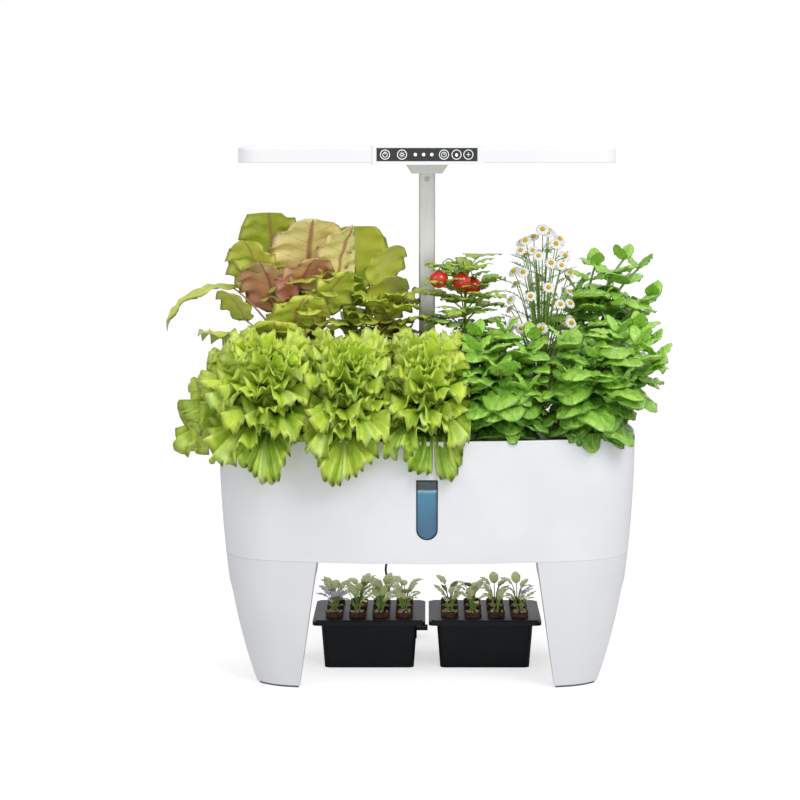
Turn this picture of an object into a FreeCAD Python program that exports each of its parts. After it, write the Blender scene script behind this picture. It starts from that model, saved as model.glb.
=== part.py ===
"""Countertop hydroponic garden.

A water tub on two arched leg mouldings carries a planting deck with twelve holes and a filler
port.  A telescopic mast on the deck holds a long lamp over the plants, a pump stirs the tub, and
two seedling trays stand under it.  Millimetres, +Z up, -Y to the front, origin on the table under
the middle of the tub.
"""
import FreeCAD, Part
import math
import os
from collections import namedtuple

V = FreeCAD.Vector
X_AXIS = V(1, 0, 0)
Y_AXIS = V(0, 1, 0)
Z_AXIS = V(0, 0, 1)
ORIGIN = V(0, 0, 0)

# Tub
RIM_HALF_WIDTH = 299.0
RIM_HALF_DEPTH = 150.0
RIM_Z = 362.0
PARTING_Z = 188.0
PROFILE_RADIUS = 1850.0
FRONT_RADIUS = 1000.0
SIDE_RADIUS = 620.0
CORNER_RADIUS = 85.0
WALL = 3.5
TUB_FLOOR = 5.0
LEDGE_WIDTH = 5.5
LEDGE_THICKNESS = 6.0
DECK_RECESS = 8.0
RIM_ROUND = 1.5
PARTING_ROUND = 1.0
SKIN_OVERLAP = 20.0

# Window in the front of the tub
WINDOW_WIDTH = 30.0
WINDOW_TOP_Z = 308.0
WINDOW_BOTTOM_Z = 223.0
GASKET_WIDTH = 1.7
GASKET_PROUD = 0.4
LENS_RECESS = 0.6
LENS_THICKNESS = 2.5
WINDOW_SEAM = 0.05
WATER_Z = 292.0
WATER_THICKNESS = 10.0
WATER_GAP = 0.4

# Legs
LEG_INNER_TOP = 155.0
LEG_INNER_FLOOR = 182.0
REAR_LEG_STEP = 20.0
ARCH_HALF_TOP = 57.0
ARCH_HALF_FLOOR = 67.0
ARCH_Z = 150.0
ARCH_ROUND = 25.0
LEG_WALL = 3.5
LEG_TOP_WALL = 4.0
PAD_HEIGHT = 3.0
PAD_INSET = 1.2
PAD_PLUG_HEIGHT = 5.0
PAD_PLUG_GAP = 0.4

# Screws that hold the legs under the tub
SCREW_X = 222.0
SCREW_Y = 97.0
SCREW_RADIUS = 2.0
SCREW_HEAD_RADIUS = 3.8
SCREW_HEAD_HEIGHT = 2.8
SCREW_LENGTH = 15.0
SCREW_CLEARANCE = 0.25
BOSS_RADIUS = 6.0
BOSS_HEIGHT = 10.0
DRIVE_RADIUS = 1.5
DRIVE_DEPTH = 1.4

# Deck
DECK_THICKNESS = 3.0
DECK_GAP = 0.7
DECK_EDGE_ROUND = 0.8
SKIRT_GAP = 1.2
SKIRT_THICKNESS = 2.5
SKIRT_DEPTH = 8.0
COLUMN_PITCH = 110.0
ROW_PITCH = 80.0
HOLE_RADIUS = 21.6

# Net cups and root plugs
CUP_GAP = 0.6
CUP_FLANGE_RADIUS = 25.0
CUP_FLANGE_HEIGHT = 2.0
CUP_BOTTOM_RADIUS = 17.0
CUP_DEPTH = 54.0
CUP_WALL = 1.5
CUP_SLOT_WIDTH = 4.0
CUP_SLOT_TOP = 14.0
CUP_SLOT_BOTTOM = 8.0
CUP_SLOT_PAIRS = 4
PLUG_GAP = 0.5
PLUG_DROP = 1.0
CELL_GAP = 0.5

# Cover and filler cap
COVER_HEIGHT = 2.5
COVER_PLUG_DEPTH = 5.0
COVER_PLUG_WALL = 2.0
COVER_ROUND = 0.8
GRIP_LENGTH = 26.0
GRIP_WIDTH = 5.0
GRIP_HEIGHT = 7.0
KNOB_RADIUS = 6.0
KNOB_HEIGHT = 5.0

# Mast
MAST_Y = 78.0
MAST_WIDTH = 24.0
MAST_DEPTH = 18.0
MAST_ROUND = 3.0
MAST_WALL = 1.5
MAST_SLIDE_GAP = 0.4
MAST_TRAVEL = 150.0
MAST_OVERLAP = 110.0
SOCKET_SEAM = 0.1
SOCKET_WALL = 3.5
SOCKET_HEIGHT = 22.0
SOCKET_DEPTH = 24.0
SOCKET_FLOOR = 2.5
SOCKET_FLANGE = 10.0
SOCKET_FLANGE_HEIGHT = 3.0
SOCKET_HOLE_GAP = 0.5
BUTTON_DROP = 8.5
BUTTON_RADIUS = 3.3
BUTTON_GAP = 0.3
BUTTON_PROUD = 1.0
BUTTON_HEAD = 3.2
BUTTON_TAIL_RADIUS = 2.6
BUTTON_TAIL = 5.0
BUTTON_SLOT_GAP = 0.4

# Lamp
LAMP_Z = 755.0
LAMP_Y = 5.0
LAMP_LENGTH = 530.0
LAMP_DEPTH = 170.0
BAR_HEIGHT = 22.4
BAR_PLAN_ROUND = 26.0
BAR_EDGE_ROUND = 4.5
CENTRE_LENGTH = 156.0
CENTRE_HEIGHT = 28.0
CENTRE_PROUD = 1.5
CENTRE_PLAN_ROUND = 3.0
CENTRE_EDGE_ROUND = 2.5
LAMP_WALL = 2.0
FRONT_WALL = 3.0
COVER_SEAM = 0.3
DIFFUSER_THICKNESS = 2.0
DIFFUSER_RECESS = 0.6
BOTTOM_COVER_THICKNESS = 2.0
BOARD_MARGIN = 12.0
BOARD_THICKNESS = 1.6
BOARD_HEIGHT = 9.0
PILLAR_RADIUS = 3.0
CHIP_SIZE = 3.5
CHIP_HEIGHT = 0.8
CHIP_COLUMNS = 9
CHIP_ROWS = 6
PANEL_LENGTH = 140.0
PANEL_HEIGHT = 18.0
PANEL_THICKNESS = 1.6
PANEL_PROUD = 0.4
PANEL_SEAM = 0.2
CONTROL_BOARD_LENGTH = 130.0
CONTROL_BOARD_HEIGHT = 15.0
CONTROL_BOARD_GAP = 0.6

# Bracket between mast and lamp
BRACKET_TOP_WIDTH = 63.0
BRACKET_BOTTOM_WIDTH = 44.0
BRACKET_HEIGHT = 14.0
BRACKET_FRONT = 40.0
BRACKET_BACK = 13.0
BRACKET_ROOF = 2.0
BRACKET_ROUND = 3.0

# Pump and riser hose
PUMP_X = 176.0
PUMP_Y = 84.0
PUMP_WIDTH = 50.0
PUMP_DEPTH = 36.0
PUMP_HEIGHT = 34.0
PUMP_ROUND = 5.0
CHAMBER_RADIUS = 12.0
CHAMBER_DEPTH = 14.0
PIN_RADIUS = 1.5
PIN_GAP = 0.05
IMPELLER_RADIUS = 10.5
IMPELLER_HUB = 3.5
IMPELLER_LENGTH = 11.0
IMPELLER_BACK_GAP = 0.5
VANE_THICKNESS = 1.2
VANES = 6
NOZZLE_RADIUS = 3.5
NOZZLE_BORE = 2.3
NOZZLE_HEIGHT = 14.0
HOSE_GAP = 0.05
HOSE_WALL = 1.5
HOSE_TOP_GAP = 14.0

# Power cord
CORD_DIAMETER = 3.5
CORD_X = -60.0
GLAND_Z = 326.0
GLAND_STEM_RADIUS = 4.5
GLAND_HOLE_GAP = 0.3
GLAND_WIDTH = 16.0
GLAND_DEPTH = 16.0
GLAND_RISE = 8.0
GLAND_BLOCK = 26.0
GLAND_ROUND = 3.0
GLAND_SEAT = 0.4
GLAND_INSIDE = 0.5
GLAND_NUT_RADIUS = 7.0
GLAND_NUT = 3.0
RELIEF_LENGTH = 22.0
RELIEF_ROOT_RADIUS = 4.6
RELIEF_TIP_RADIUS = 2.9
CORD_LEAD = 0.45
COIL_X = -122.0
COIL_Y = 192.0
COIL_MEAN_RADIUS = 20.0
COIL_TURNS_PER_LAYER = 2.0
COIL_LAYERS = 4
COIL_PITCH = 4.0
COIL_END_RUN = 34.0
ADAPTER_LENGTH = 58.0
ADAPTER_WIDTH = 36.0
ADAPTER_ROUND = 5.0
ADAPTER_RELIEF = 14.0
ADAPTER_RELIEF_RADIUS = 4.0
PIN_SPACING = 12.7
PIN_LENGTH = 17.0
PIN_WIDTH = 6.3
PIN_THICKNESS = 1.5
PIN_ROOT = 2.0

# Seedling trays
TRAY_WIDTH = 166.0
TRAY_DEPTH = 145.0
TRAY_FRONT_Y = 0.0
TRAY_GAP = 5.0
TRAY_HEIGHT = 73.0
TRAY_LIP = 6.0
TRAY_WALL = 1.6
TRAY_BODY_TOP_INSET = 12.0
TRAY_BODY_FLOOR_INSET = 17.0
TRAY_ROUND = 8.0
INSERT_INSET = 4.0
INSERT_THICKNESS = 1.5
CELL_COLUMNS = 4
CELL_ROWS = 3
CELL_PITCH_X = 34.5
CELL_PITCH_Y = 41.0
POT_RADIUS = 12.8
POT_FLOOR_RADIUS = 10.2
POT_HEIGHT = 46.0
POT_PROUD = 9.0
POT_RIM = 1.8
POT_SOIL_DROP = 3.5
POT_GAP = 0.5
CELL_WALL = 1.0

# Plants
LEAF_THICKNESS = 1.6
LEAF_ROOT = 3.0
LEAF_BROADEST = 0.5
LEAF_VALLEY = 0.42
LEAF_BULGE = 0.66
LEAF_BULGE_REACH = 0.8
LEAF_BULGE_ROOM = 1.15
BASIL_LEAVES = (54.0, 54.0, 50.0, 42.0, 28.0)
TOMATO_RADIUS = 13.5
CHAMOMILE_STEMS = 9
CHAMOMILE_RADIUS = 8.0
CHAMOMILE_REACH = 0.8
OUTER_REACH = 400.0
SEEDLING_STEM_RADIUS = 0.9
SEEDLING_HEIGHT = 46.0
SEEDLING_LEAF = 13.0

# Places worked out from the sizes above
DECK_TOP_Z = RIM_Z - DECK_RECESS
LEDGE_Z = DECK_TOP_Z - DECK_THICKNESS
TUB_FLOOR_Z = PARTING_Z + TUB_FLOOR
CUP_RADIUS = HOLE_RADIUS - CUP_GAP
CUP_BOTTOM_Z = DECK_TOP_Z - CUP_DEPTH
BAR_TOP_Z = LAMP_Z + BAR_HEIGHT / 2
BAR_BOTTOM_Z = LAMP_Z - BAR_HEIGHT / 2
CENTRE_TOP_Z = LAMP_Z + CENTRE_HEIGHT / 2
CENTRE_BOTTOM_Z = LAMP_Z - CENTRE_HEIGHT / 2
LAMP_FRONT_Y = LAMP_Y - LAMP_DEPTH / 2 - CENTRE_PROUD
MAST_TOP_Z = CENTRE_BOTTOM_Z - BRACKET_HEIGHT
MAST_BOTTOM_Z = DECK_TOP_Z - SOCKET_DEPTH
BUTTON_Z = MAST_TOP_Z - BUTTON_DROP
TRAY_X = (TRAY_WIDTH + TRAY_GAP) / 2
CORD_RADIUS = CORD_DIAMETER / 2

SOCKET_WIDTH = MAST_WIDTH + 2 * (SOCKET_SEAM + SOCKET_WALL)
SOCKET_THICKNESS = MAST_DEPTH + 2 * (SOCKET_SEAM + SOCKET_WALL)

Pod = namedtuple("Pod", "name x y grow cell")


def line(start, end):
    """Straight edge between two points."""
    return Part.LineSegment(start, end).toShape()


def arc(start, middle, end):
    """Circular edge through three points."""
    return Part.Arc(start, middle, end).toShape()


def prism(points, direction):
    """Solid swept from a polygon of points."""
    wire = Part.makePolygon(points + points[:1])
    return Part.Face(wire).extrude(direction)


def box(x0, x1, y0, y1, z0, z1):
    """Box between two corners."""
    return Part.makeBox(x1 - x0, y1 - y0, z1 - z0, V(x0, y0, z0))


def cylinder(radius, start, direction, length):
    """Round bar from a point along a direction."""
    return Part.makeCylinder(radius, length, start, direction)


def cone(radius0, radius1, z0, z1, x=0.0, y=0.0):
    """Upright cone with a radius at each end."""
    return Part.makeCone(radius0, radius1, z1 - z0, V(x, y, z0), Z_AXIS)


def rounded_rectangle(x0, x1, y0, y1, radius, z):
    """Closed wire of a rectangle with round corners at one height."""
    bend = radius * (1 - math.sqrt(0.5))
    edges = [
        line(V(x0 + radius, y0, z), V(x1 - radius, y0, z)),
        arc(V(x1 - radius, y0, z), V(x1 - bend, y0 + bend, z), V(x1, y0 + radius, z)),
        line(V(x1, y0 + radius, z), V(x1, y1 - radius, z)),
        arc(V(x1, y1 - radius, z), V(x1 - bend, y1 - bend, z), V(x1 - radius, y1, z)),
        line(V(x1 - radius, y1, z), V(x0 + radius, y1, z)),
        arc(V(x0 + radius, y1, z), V(x0 + bend, y1 - bend, z), V(x0, y1 - radius, z)),
        line(V(x0, y1 - radius, z), V(x0, y0 + radius, z)),
        arc(V(x0, y0 + radius, z), V(x0 + bend, y0 + bend, z), V(x0 + radius, y0, z)),
    ]
    return Part.Wire(edges)


def rounded_block(x0, x1, y0, y1, z0, z1, plan_round):
    """Upright block with round corners in plan."""
    wire = rounded_rectangle(x0, x1, y0, y1, plan_round, z0)
    return Part.Face(wire).extrude(V(0, 0, z1 - z0))


def tube_block(width, depth, radius, z0, z1):
    """Block of the mast's section, centred on the mast."""
    return rounded_block(-width / 2, width / 2, MAST_Y - depth / 2, MAST_Y + depth / 2, z0, z1, radius)


def edges_at(shape, z):
    """Edges that lie wholly at one height."""
    return [e for e in shape.Edges if abs(e.BoundBox.ZMin - z) < 0.001 and abs(e.BoundBox.ZMax - z) < 0.001]


def half_size(rim, z):
    """Half width or half depth of the garden at a height, from the round side profile."""
    return rim - (RIM_Z - z) ** 2 / (2 * PROFILE_RADIUS)


def outline(inset, z):
    """Plan outline of the tub at a height: long front and side arcs joined by corner arcs."""
    a = half_size(RIM_HALF_WIDTH, z) - inset
    b = half_size(RIM_HALF_DEPTH, z) - inset
    front_radius = FRONT_RADIUS - inset
    side_radius = SIDE_RADIUS - inset
    corner_radius = CORNER_RADIUS - inset
    front_centre = V(0, front_radius - b, 0)
    side_centre = V(a - side_radius, 0, 0)
    reach_front = front_radius - corner_radius
    reach_side = side_radius - corner_radius
    between = side_centre - front_centre
    span = between.Length
    along = (reach_front ** 2 - reach_side ** 2 + span ** 2) / (2 * span)
    aside = math.sqrt(reach_front ** 2 - along ** 2)
    unit = between / span
    corner = front_centre + unit * along + V(-unit.y, unit.x, 0) * aside
    if corner.y > 0:
        corner = front_centre + unit * along - V(-unit.y, unit.x, 0) * aside
    p_front = front_centre + (corner - front_centre).normalize() * front_radius
    p_side = side_centre + (corner - side_centre).normalize() * side_radius
    outward = ((p_front - corner) + (p_side - corner)).normalize()
    p_mid = corner + outward * corner_radius

    def at(point, sx, sy):
        return V(point.x * sx, point.y * sy, z)

    edges = [
        arc(at(p_front, -1, 1), V(0, -b, z), at(p_front, 1, 1)),
        arc(at(p_front, 1, 1), at(p_mid, 1, 1), at(p_side, 1, 1)),
        arc(at(p_side, 1, 1), V(a, 0, z), at(p_side, 1, -1)),
        arc(at(p_side, 1, -1), at(p_mid, 1, -1), at(p_front, 1, -1)),
        arc(at(p_front, 1, -1), V(0, b, z), at(p_front, -1, -1)),
        arc(at(p_front, -1, -1), at(p_mid, -1, -1), at(p_side, -1, -1)),
        arc(at(p_side, -1, -1), V(-a, 0, z), at(p_side, -1, 1)),
        arc(at(p_side, -1, 1), at(p_mid, -1, 1), at(p_front, -1, 1)),
    ]
    return Part.Wire(edges)


def garden_body(inset, z0, z1, sections=5):
    """Solid of the garden's outer form between two heights, drawn in by an inset."""
    wires = [outline(inset, z0 + (z1 - z0) * i / (sections - 1)) for i in range(sections)]
    return Part.makeLoft(wires, True, False)


def plan_plate(inset, z0, z1):
    """Upright plate of the outline at its own top height."""
    wire = outline(inset, z1)
    wire.translate(V(0, 0, z0 - z1))
    return Part.Face(wire).extrude(V(0, 0, z1 - z0))


def window_prism(margin):
    """Prism through the front wall: flat top, half-round bottom, grown by a margin."""
    half = WINDOW_WIDTH / 2 + margin
    top = WINDOW_TOP_Z + margin
    spring = WINDOW_BOTTOM_Z + WINDOW_WIDTH / 2
    y = -RIM_HALF_DEPTH - SKIN_OVERLAP
    edges = [
        line(V(-half, y, top), V(half, y, top)),
        line(V(half, y, top), V(half, y, spring)),
        arc(V(half, y, spring), V(0, y, spring - half), V(-half, y, spring)),
        line(V(-half, y, spring), V(-half, y, top)),
    ]
    return Part.Face(Part.Wire(edges)).extrude(V(0, 2 * SKIN_OVERLAP + WATER_THICKNESS, 0))


def screw_places():
    """Plan positions of the six leg screws."""
    places = []
    for side in (-1, 1):
        for y in (-SCREW_Y, 0.0, SCREW_Y):
            places.append((side * SCREW_X, y))
    return places


def make_tub_shell():
    """Water tub with ledge, rim, window cut-out, gland hole and screw bosses."""
    outer = garden_body(0.0, PARTING_Z, RIM_Z)
    outer = outer.makeFillet(PARTING_ROUND, edges_at(outer, PARTING_Z))
    ledge_bottom = LEDGE_Z - LEDGE_THICKNESS
    cavity = garden_body(WALL, TUB_FLOOR_Z, ledge_bottom)
    neck = plan_plate(WALL + LEDGE_WIDTH, ledge_bottom - 1.0, LEDGE_Z)
    rebate = garden_body(WALL, LEDGE_Z, RIM_Z + 1.0, 3)
    shell = outer.cut(cavity).cut(neck).cut(rebate)
    rim_edges = edges_at(shell, RIM_Z)
    shell = shell.makeFillet(RIM_ROUND, rim_edges)
    bosses = []
    drills = []
    for x, y in screw_places():
        bosses.append(cylinder(BOSS_RADIUS, V(x, y, TUB_FLOOR_Z - 1.0), Z_AXIS, BOSS_HEIGHT + 1.0))
        depth = SCREW_LENGTH - LEG_TOP_WALL + 1.0
        drills.append(cylinder(SCREW_RADIUS + SCREW_CLEARANCE, V(x, y, PARTING_Z), Z_AXIS, depth))
    shell = shell.multiFuse(bosses)
    hole = cylinder(GLAND_STEM_RADIUS + GLAND_HOLE_GAP, V(CORD_X, RIM_HALF_DEPTH - SKIN_OVERLAP, GLAND_Z),
                    Y_AXIS, 2 * SKIN_OVERLAP)
    return shell.cut(Part.makeCompound(drills + [hole, window_prism(WINDOW_SEAM)]))


def window_band(outer_inset, inner_inset, margin):
    """Slice of the curved front wall inside the window outline."""
    z0 = WINDOW_BOTTOM_Z - SKIN_OVERLAP
    z1 = WINDOW_TOP_Z + SKIN_OVERLAP
    band = window_prism(margin).common(garden_body(outer_inset, z0, z1, 3))
    return band.cut(garden_body(inner_inset, z0, z1, 3))


def make_window_gasket():
    """Rubber frame round the window."""
    band = window_band(-GASKET_PROUD, WALL + GASKET_PROUD, 0.0)
    return band.cut(window_prism(-GASKET_WIDTH))


def make_window_lens():
    """Clear window inside the rubber frame."""
    return window_band(LENS_RECESS, LENS_RECESS + LENS_THICKNESS, -GASKET_WIDTH - WINDOW_SEAM)


def make_water_column():
    """Water that shows behind the window, up to the water line."""
    inner = WALL + GASKET_PROUD + WATER_GAP
    column = window_band(inner, inner + WATER_THICKNESS, -GASKET_WIDTH)
    above = box(-WINDOW_WIDTH, WINDOW_WIDTH, -2 * RIM_HALF_DEPTH, 0, WATER_Z, WINDOW_TOP_Z + SKIN_OVERLAP)
    return column.cut(above)


def leg_inner_x(z):
    """Distance from the middle to a front leg's inner face at a height."""
    return LEG_INNER_TOP + (LEG_INNER_FLOOR - LEG_INNER_TOP) * (PARTING_Z - z) / PARTING_Z


def beyond_leg(step, inset, y0, y1):
    """Everything on the inner side of the left leg's slanted inner face."""
    z0 = -SKIN_OVERLAP
    z1 = PARTING_Z + SKIN_OVERLAP
    low = -(leg_inner_x(z0) + step + inset)
    high = -(leg_inner_x(z1) + step + inset)
    points = [V(low, y0, z0), V(RIM_HALF_WIDTH, y0, z0), V(RIM_HALF_WIDTH, y0, z1), V(high, y0, z1)]
    return prism(points, V(0, y1 - y0, 0))


def side_arch(inset):
    """Tunnel along X between the front and the rear leg, grown by an inset."""
    grow = (ARCH_HALF_FLOOR - ARCH_HALF_TOP) / ARCH_Z
    top = ARCH_Z + inset
    half_top = ARCH_HALF_TOP + inset - grow * inset
    half_low = ARCH_HALF_FLOOR + inset + grow * SKIN_OVERLAP
    x = -RIM_HALF_WIDTH - SKIN_OVERLAP
    low = -SKIN_OVERLAP
    points = [V(x, -half_low, low), V(x, half_low, low), V(x, half_top, top), V(x, -half_top, top)]
    tunnel = prism(points, V(RIM_HALF_WIDTH, 0, 0))
    top_edges = [e for e in tunnel.Edges if e.BoundBox.ZMin > top - 1 and e.BoundBox.XLength > 1]
    return tunnel.makeFillet(ARCH_ROUND + inset, [e for e in top_edges if e.BoundBox.YLength < 1])


def leg_block(inset, z0, z1):
    """Left leg form between two heights, drawn in by an inset all round."""
    depth = 2 * RIM_HALF_DEPTH
    block = garden_body(inset, z0, z1)
    block = block.cut(beyond_leg(0.0, inset, -depth, depth))
    block = block.cut(beyond_leg(REAR_LEG_STEP, inset, -inset, depth))
    return block.cut(side_arch(inset))


def make_leg_frame_left():
    """Hollow moulding of the left front and rear legs and the arch between them."""
    solid = leg_block(0.0, PAD_HEIGHT, PARTING_Z)
    cavity = leg_block(LEG_WALL, PAD_HEIGHT - 1.0, PARTING_Z - LEG_TOP_WALL)
    frame = solid.cut(cavity)
    holes = []
    for x, y in screw_places():
        if x < 0:
            holes.append(cylinder(SCREW_RADIUS + SCREW_CLEARANCE, V(x, y, PARTING_Z - 2 * LEG_TOP_WALL),
                                  Z_AXIS, 3 * LEG_TOP_WALL))
    return frame.cut(Part.makeCompound(holes))


def mirrored(shape):
    """Copy on the other side of the middle plane."""
    return shape.mirror(ORIGIN, X_AXIS)


def make_foot_pads():
    """Four rubber pads that plug into the legs' open feet."""
    plate = leg_block(PAD_INSET, 0.0, PAD_HEIGHT)
    plug = leg_block(LEG_WALL + PAD_PLUG_GAP, PAD_HEIGHT, PAD_HEIGHT + PAD_PLUG_HEIGHT)
    left = plate.fuse(plug)
    return Part.makeCompound(left.Solids + mirrored(left).Solids)


def make_leg_screws():
    """Six screws up through the legs' top walls into the tub's bosses."""
    screws = []
    under = PARTING_Z - LEG_TOP_WALL
    for x, y in screw_places():
        head = cylinder(SCREW_HEAD_RADIUS, V(x, y, under - SCREW_HEAD_HEIGHT), Z_AXIS, SCREW_HEAD_HEIGHT)
        shank = cylinder(SCREW_RADIUS, V(x, y, under), Z_AXIS, SCREW_LENGTH)
        drive = cylinder(DRIVE_RADIUS, V(x, y, under - SCREW_HEAD_HEIGHT), Z_AXIS, DRIVE_DEPTH)
        screws.append(head.fuse(shank).cut(drive))
    return Part.makeCompound(screws)


def make_deck():
    """Planting deck: plate, centring skirt, round holes and the mast opening."""
    plate = plan_plate(WALL + DECK_GAP, LEDGE_Z, DECK_TOP_Z)
    plate = plate.makeFillet(DECK_EDGE_ROUND, edges_at(plate, DECK_TOP_Z))
    skirt_inset = WALL + LEDGE_WIDTH + SKIRT_GAP
    skirt_bottom = LEDGE_Z - SKIRT_DEPTH
    skirt = plan_plate(skirt_inset, skirt_bottom, LEDGE_Z)
    skirt = skirt.cut(plan_plate(skirt_inset + SKIRT_THICKNESS, skirt_bottom - 1.0, LEDGE_Z + 1.0))
    cutters = []
    for x, y in HOLES:
        cutters.append(cylinder(HOLE_RADIUS, V(x, y, skirt_bottom), Z_AXIS, 2 * SKIRT_DEPTH + DECK_THICKNESS))
    gap = 2 * SOCKET_HOLE_GAP
    cutters.append(tube_block(SOCKET_WIDTH + gap, SOCKET_THICKNESS + gap, MAST_ROUND, skirt_bottom, RIM_Z))
    return plate.fuse(skirt).cut(Part.makeCompound(cutters))


def make_net_cup():
    """Slotted cup with a flange, at the origin in plan."""
    z = DECK_TOP_Z
    b = CUP_BOTTOM_Z
    points = [
        V(0, 0, b), V(CUP_BOTTOM_RADIUS, 0, b), V(CUP_RADIUS, 0, z), V(CUP_FLANGE_RADIUS, 0, z),
        V(CUP_FLANGE_RADIUS, 0, z + CUP_FLANGE_HEIGHT), V(CUP_RADIUS - CUP_WALL, 0, z + CUP_FLANGE_HEIGHT),
        V(CUP_BOTTOM_RADIUS - CUP_WALL, 0, b + CUP_WALL), V(0, 0, b + CUP_WALL),
    ]
    cup = Part.Face(Part.makePolygon(points + points[:1])).revolve(ORIGIN, Z_AXIS, 360)
    slots = []
    for i in range(CUP_SLOT_PAIRS):
        slot = box(-2 * CUP_RADIUS, 2 * CUP_RADIUS, -CUP_SLOT_WIDTH / 2, CUP_SLOT_WIDTH / 2,
                   b + CUP_SLOT_BOTTOM, z - CUP_SLOT_TOP)
        slot.rotate(ORIGIN, Z_AXIS, 180.0 * i / CUP_SLOT_PAIRS)
        slots.append(slot)
    return cup.cut(Part.makeCompound(slots))


def make_root_plug():
    """Grow sponge that fills the cup, at the origin in plan."""
    low = CUP_BOTTOM_Z + CUP_WALL + PLUG_GAP
    high = DECK_TOP_Z + CUP_FLANGE_HEIGHT - PLUG_DROP
    inset = CUP_WALL + PLUG_GAP
    return cone(CUP_BOTTOM_RADIUS - inset, CUP_RADIUS - inset, low, high)


def cover_disc():
    """Round cover with a plug ring that drops into a deck hole, at the origin in plan."""
    z = DECK_TOP_Z
    disc = cylinder(CUP_FLANGE_RADIUS, V(0, 0, z), Z_AXIS, COVER_HEIGHT)
    disc = disc.makeFillet(COVER_ROUND, edges_at(disc, z + COVER_HEIGHT))
    ring = cylinder(CUP_RADIUS, V(0, 0, z - COVER_PLUG_DEPTH), Z_AXIS, COVER_PLUG_DEPTH)
    return disc.fuse(ring).cut(cylinder(CUP_RADIUS - COVER_PLUG_WALL, V(0, 0, z - COVER_PLUG_DEPTH), Z_AXIS,
                                        COVER_PLUG_DEPTH - DECK_THICKNESS / 2))


def make_hole_cover():
    """Cover of the planting hole that is not in use, with a round knob."""
    top = DECK_TOP_Z + COVER_HEIGHT
    knob = cylinder(KNOB_RADIUS, V(0, 0, top - 0.5), Z_AXIS, KNOB_HEIGHT + 0.5)
    knob = knob.makeFillet(COVER_ROUND, edges_at(knob, top + KNOB_HEIGHT))
    cover = cover_disc().fuse(knob)
    cover.translate(V(COVER_PLACE[0], COVER_PLACE[1], 0))
    return cover


def make_filler_cap():
    """Cap of the water filler port, with a finger grip."""
    top = DECK_TOP_Z + COVER_HEIGHT
    grip = rounded_block(-GRIP_LENGTH / 2, GRIP_LENGTH / 2, -GRIP_WIDTH / 2, GRIP_WIDTH / 2,
                         top - 0.5, top + GRIP_HEIGHT, GRIP_WIDTH / 2 - 0.1)
    cap = cover_disc().fuse(grip)
    cap.translate(V(FILLER_PLACE[0], FILLER_PLACE[1], 0))
    return cap


def make_mast_socket():
    """Socket on the deck that holds the foot of the outer mast tube."""
    low = MAST_BOTTOM_Z - SOCKET_FLOOR
    body = tube_block(SOCKET_WIDTH, SOCKET_THICKNESS, MAST_ROUND, low, DECK_TOP_Z + SOCKET_HEIGHT)
    flange = tube_block(SOCKET_WIDTH + 2 * SOCKET_FLANGE, SOCKET_THICKNESS + 2 * SOCKET_FLANGE,
                        SOCKET_FLANGE, DECK_TOP_Z, DECK_TOP_Z + SOCKET_FLANGE_HEIGHT)
    pocket = tube_block(MAST_WIDTH + 2 * SOCKET_SEAM, MAST_DEPTH + 2 * SOCKET_SEAM, MAST_ROUND,
                        MAST_BOTTOM_Z, DECK_TOP_Z + SOCKET_HEIGHT + 1.0)
    return body.fuse(flange).cut(pocket)


def make_mast_outer_tube():
    """Outer mast tube with the hole for its lock button."""
    inner_round = MAST_ROUND - MAST_WALL
    tube = tube_block(MAST_WIDTH, MAST_DEPTH, MAST_ROUND, MAST_BOTTOM_Z, MAST_TOP_Z)
    bore = tube_block(MAST_WIDTH - 2 * MAST_WALL, MAST_DEPTH - 2 * MAST_WALL, inner_round,
                      MAST_BOTTOM_Z - 1.0, MAST_TOP_Z + 1.0)
    hole = cylinder(BUTTON_RADIUS + BUTTON_GAP, V(0, MAST_Y - MAST_DEPTH, BUTTON_Z), Y_AXIS, MAST_DEPTH)
    return tube.cut(bore).cut(hole)


def make_mast_inner_tube():
    """Inner mast tube with the long slot that the lock button rides in."""
    inset = 2 * (MAST_WALL + MAST_SLIDE_GAP)
    width = MAST_WIDTH - inset
    depth = MAST_DEPTH - inset
    top = CENTRE_BOTTOM_Z - BRACKET_ROOF
    bottom = MAST_TOP_Z - MAST_TRAVEL - MAST_OVERLAP
    outer_round = MAST_ROUND - MAST_WALL
    tube = tube_block(width, depth, outer_round, bottom, top)
    bore = tube_block(width - 2 * MAST_WALL, depth - 2 * MAST_WALL, outer_round / 3, bottom - 1.0, top + 1.0)
    half = BUTTON_RADIUS + BUTTON_SLOT_GAP
    slot_bottom = BUTTON_Z - MAST_TRAVEL - 2 * half
    slot = box(-half, half, MAST_Y - MAST_DEPTH, MAST_Y, slot_bottom, BUTTON_Z + 2 * half)
    return tube.cut(bore).cut(slot)


def make_mast_lock_button():
    """Round button near the mast's top that frees the inner tube when it is pressed."""
    face = MAST_Y - MAST_DEPTH / 2 - BUTTON_PROUD
    head = cylinder(BUTTON_RADIUS, V(0, face, BUTTON_Z), Y_AXIS, BUTTON_HEAD)
    tail = cylinder(BUTTON_TAIL_RADIUS, V(0, face + BUTTON_HEAD, BUTTON_Z), Y_AXIS, BUTTON_TAIL)
    return head.fuse(tail)


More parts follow.
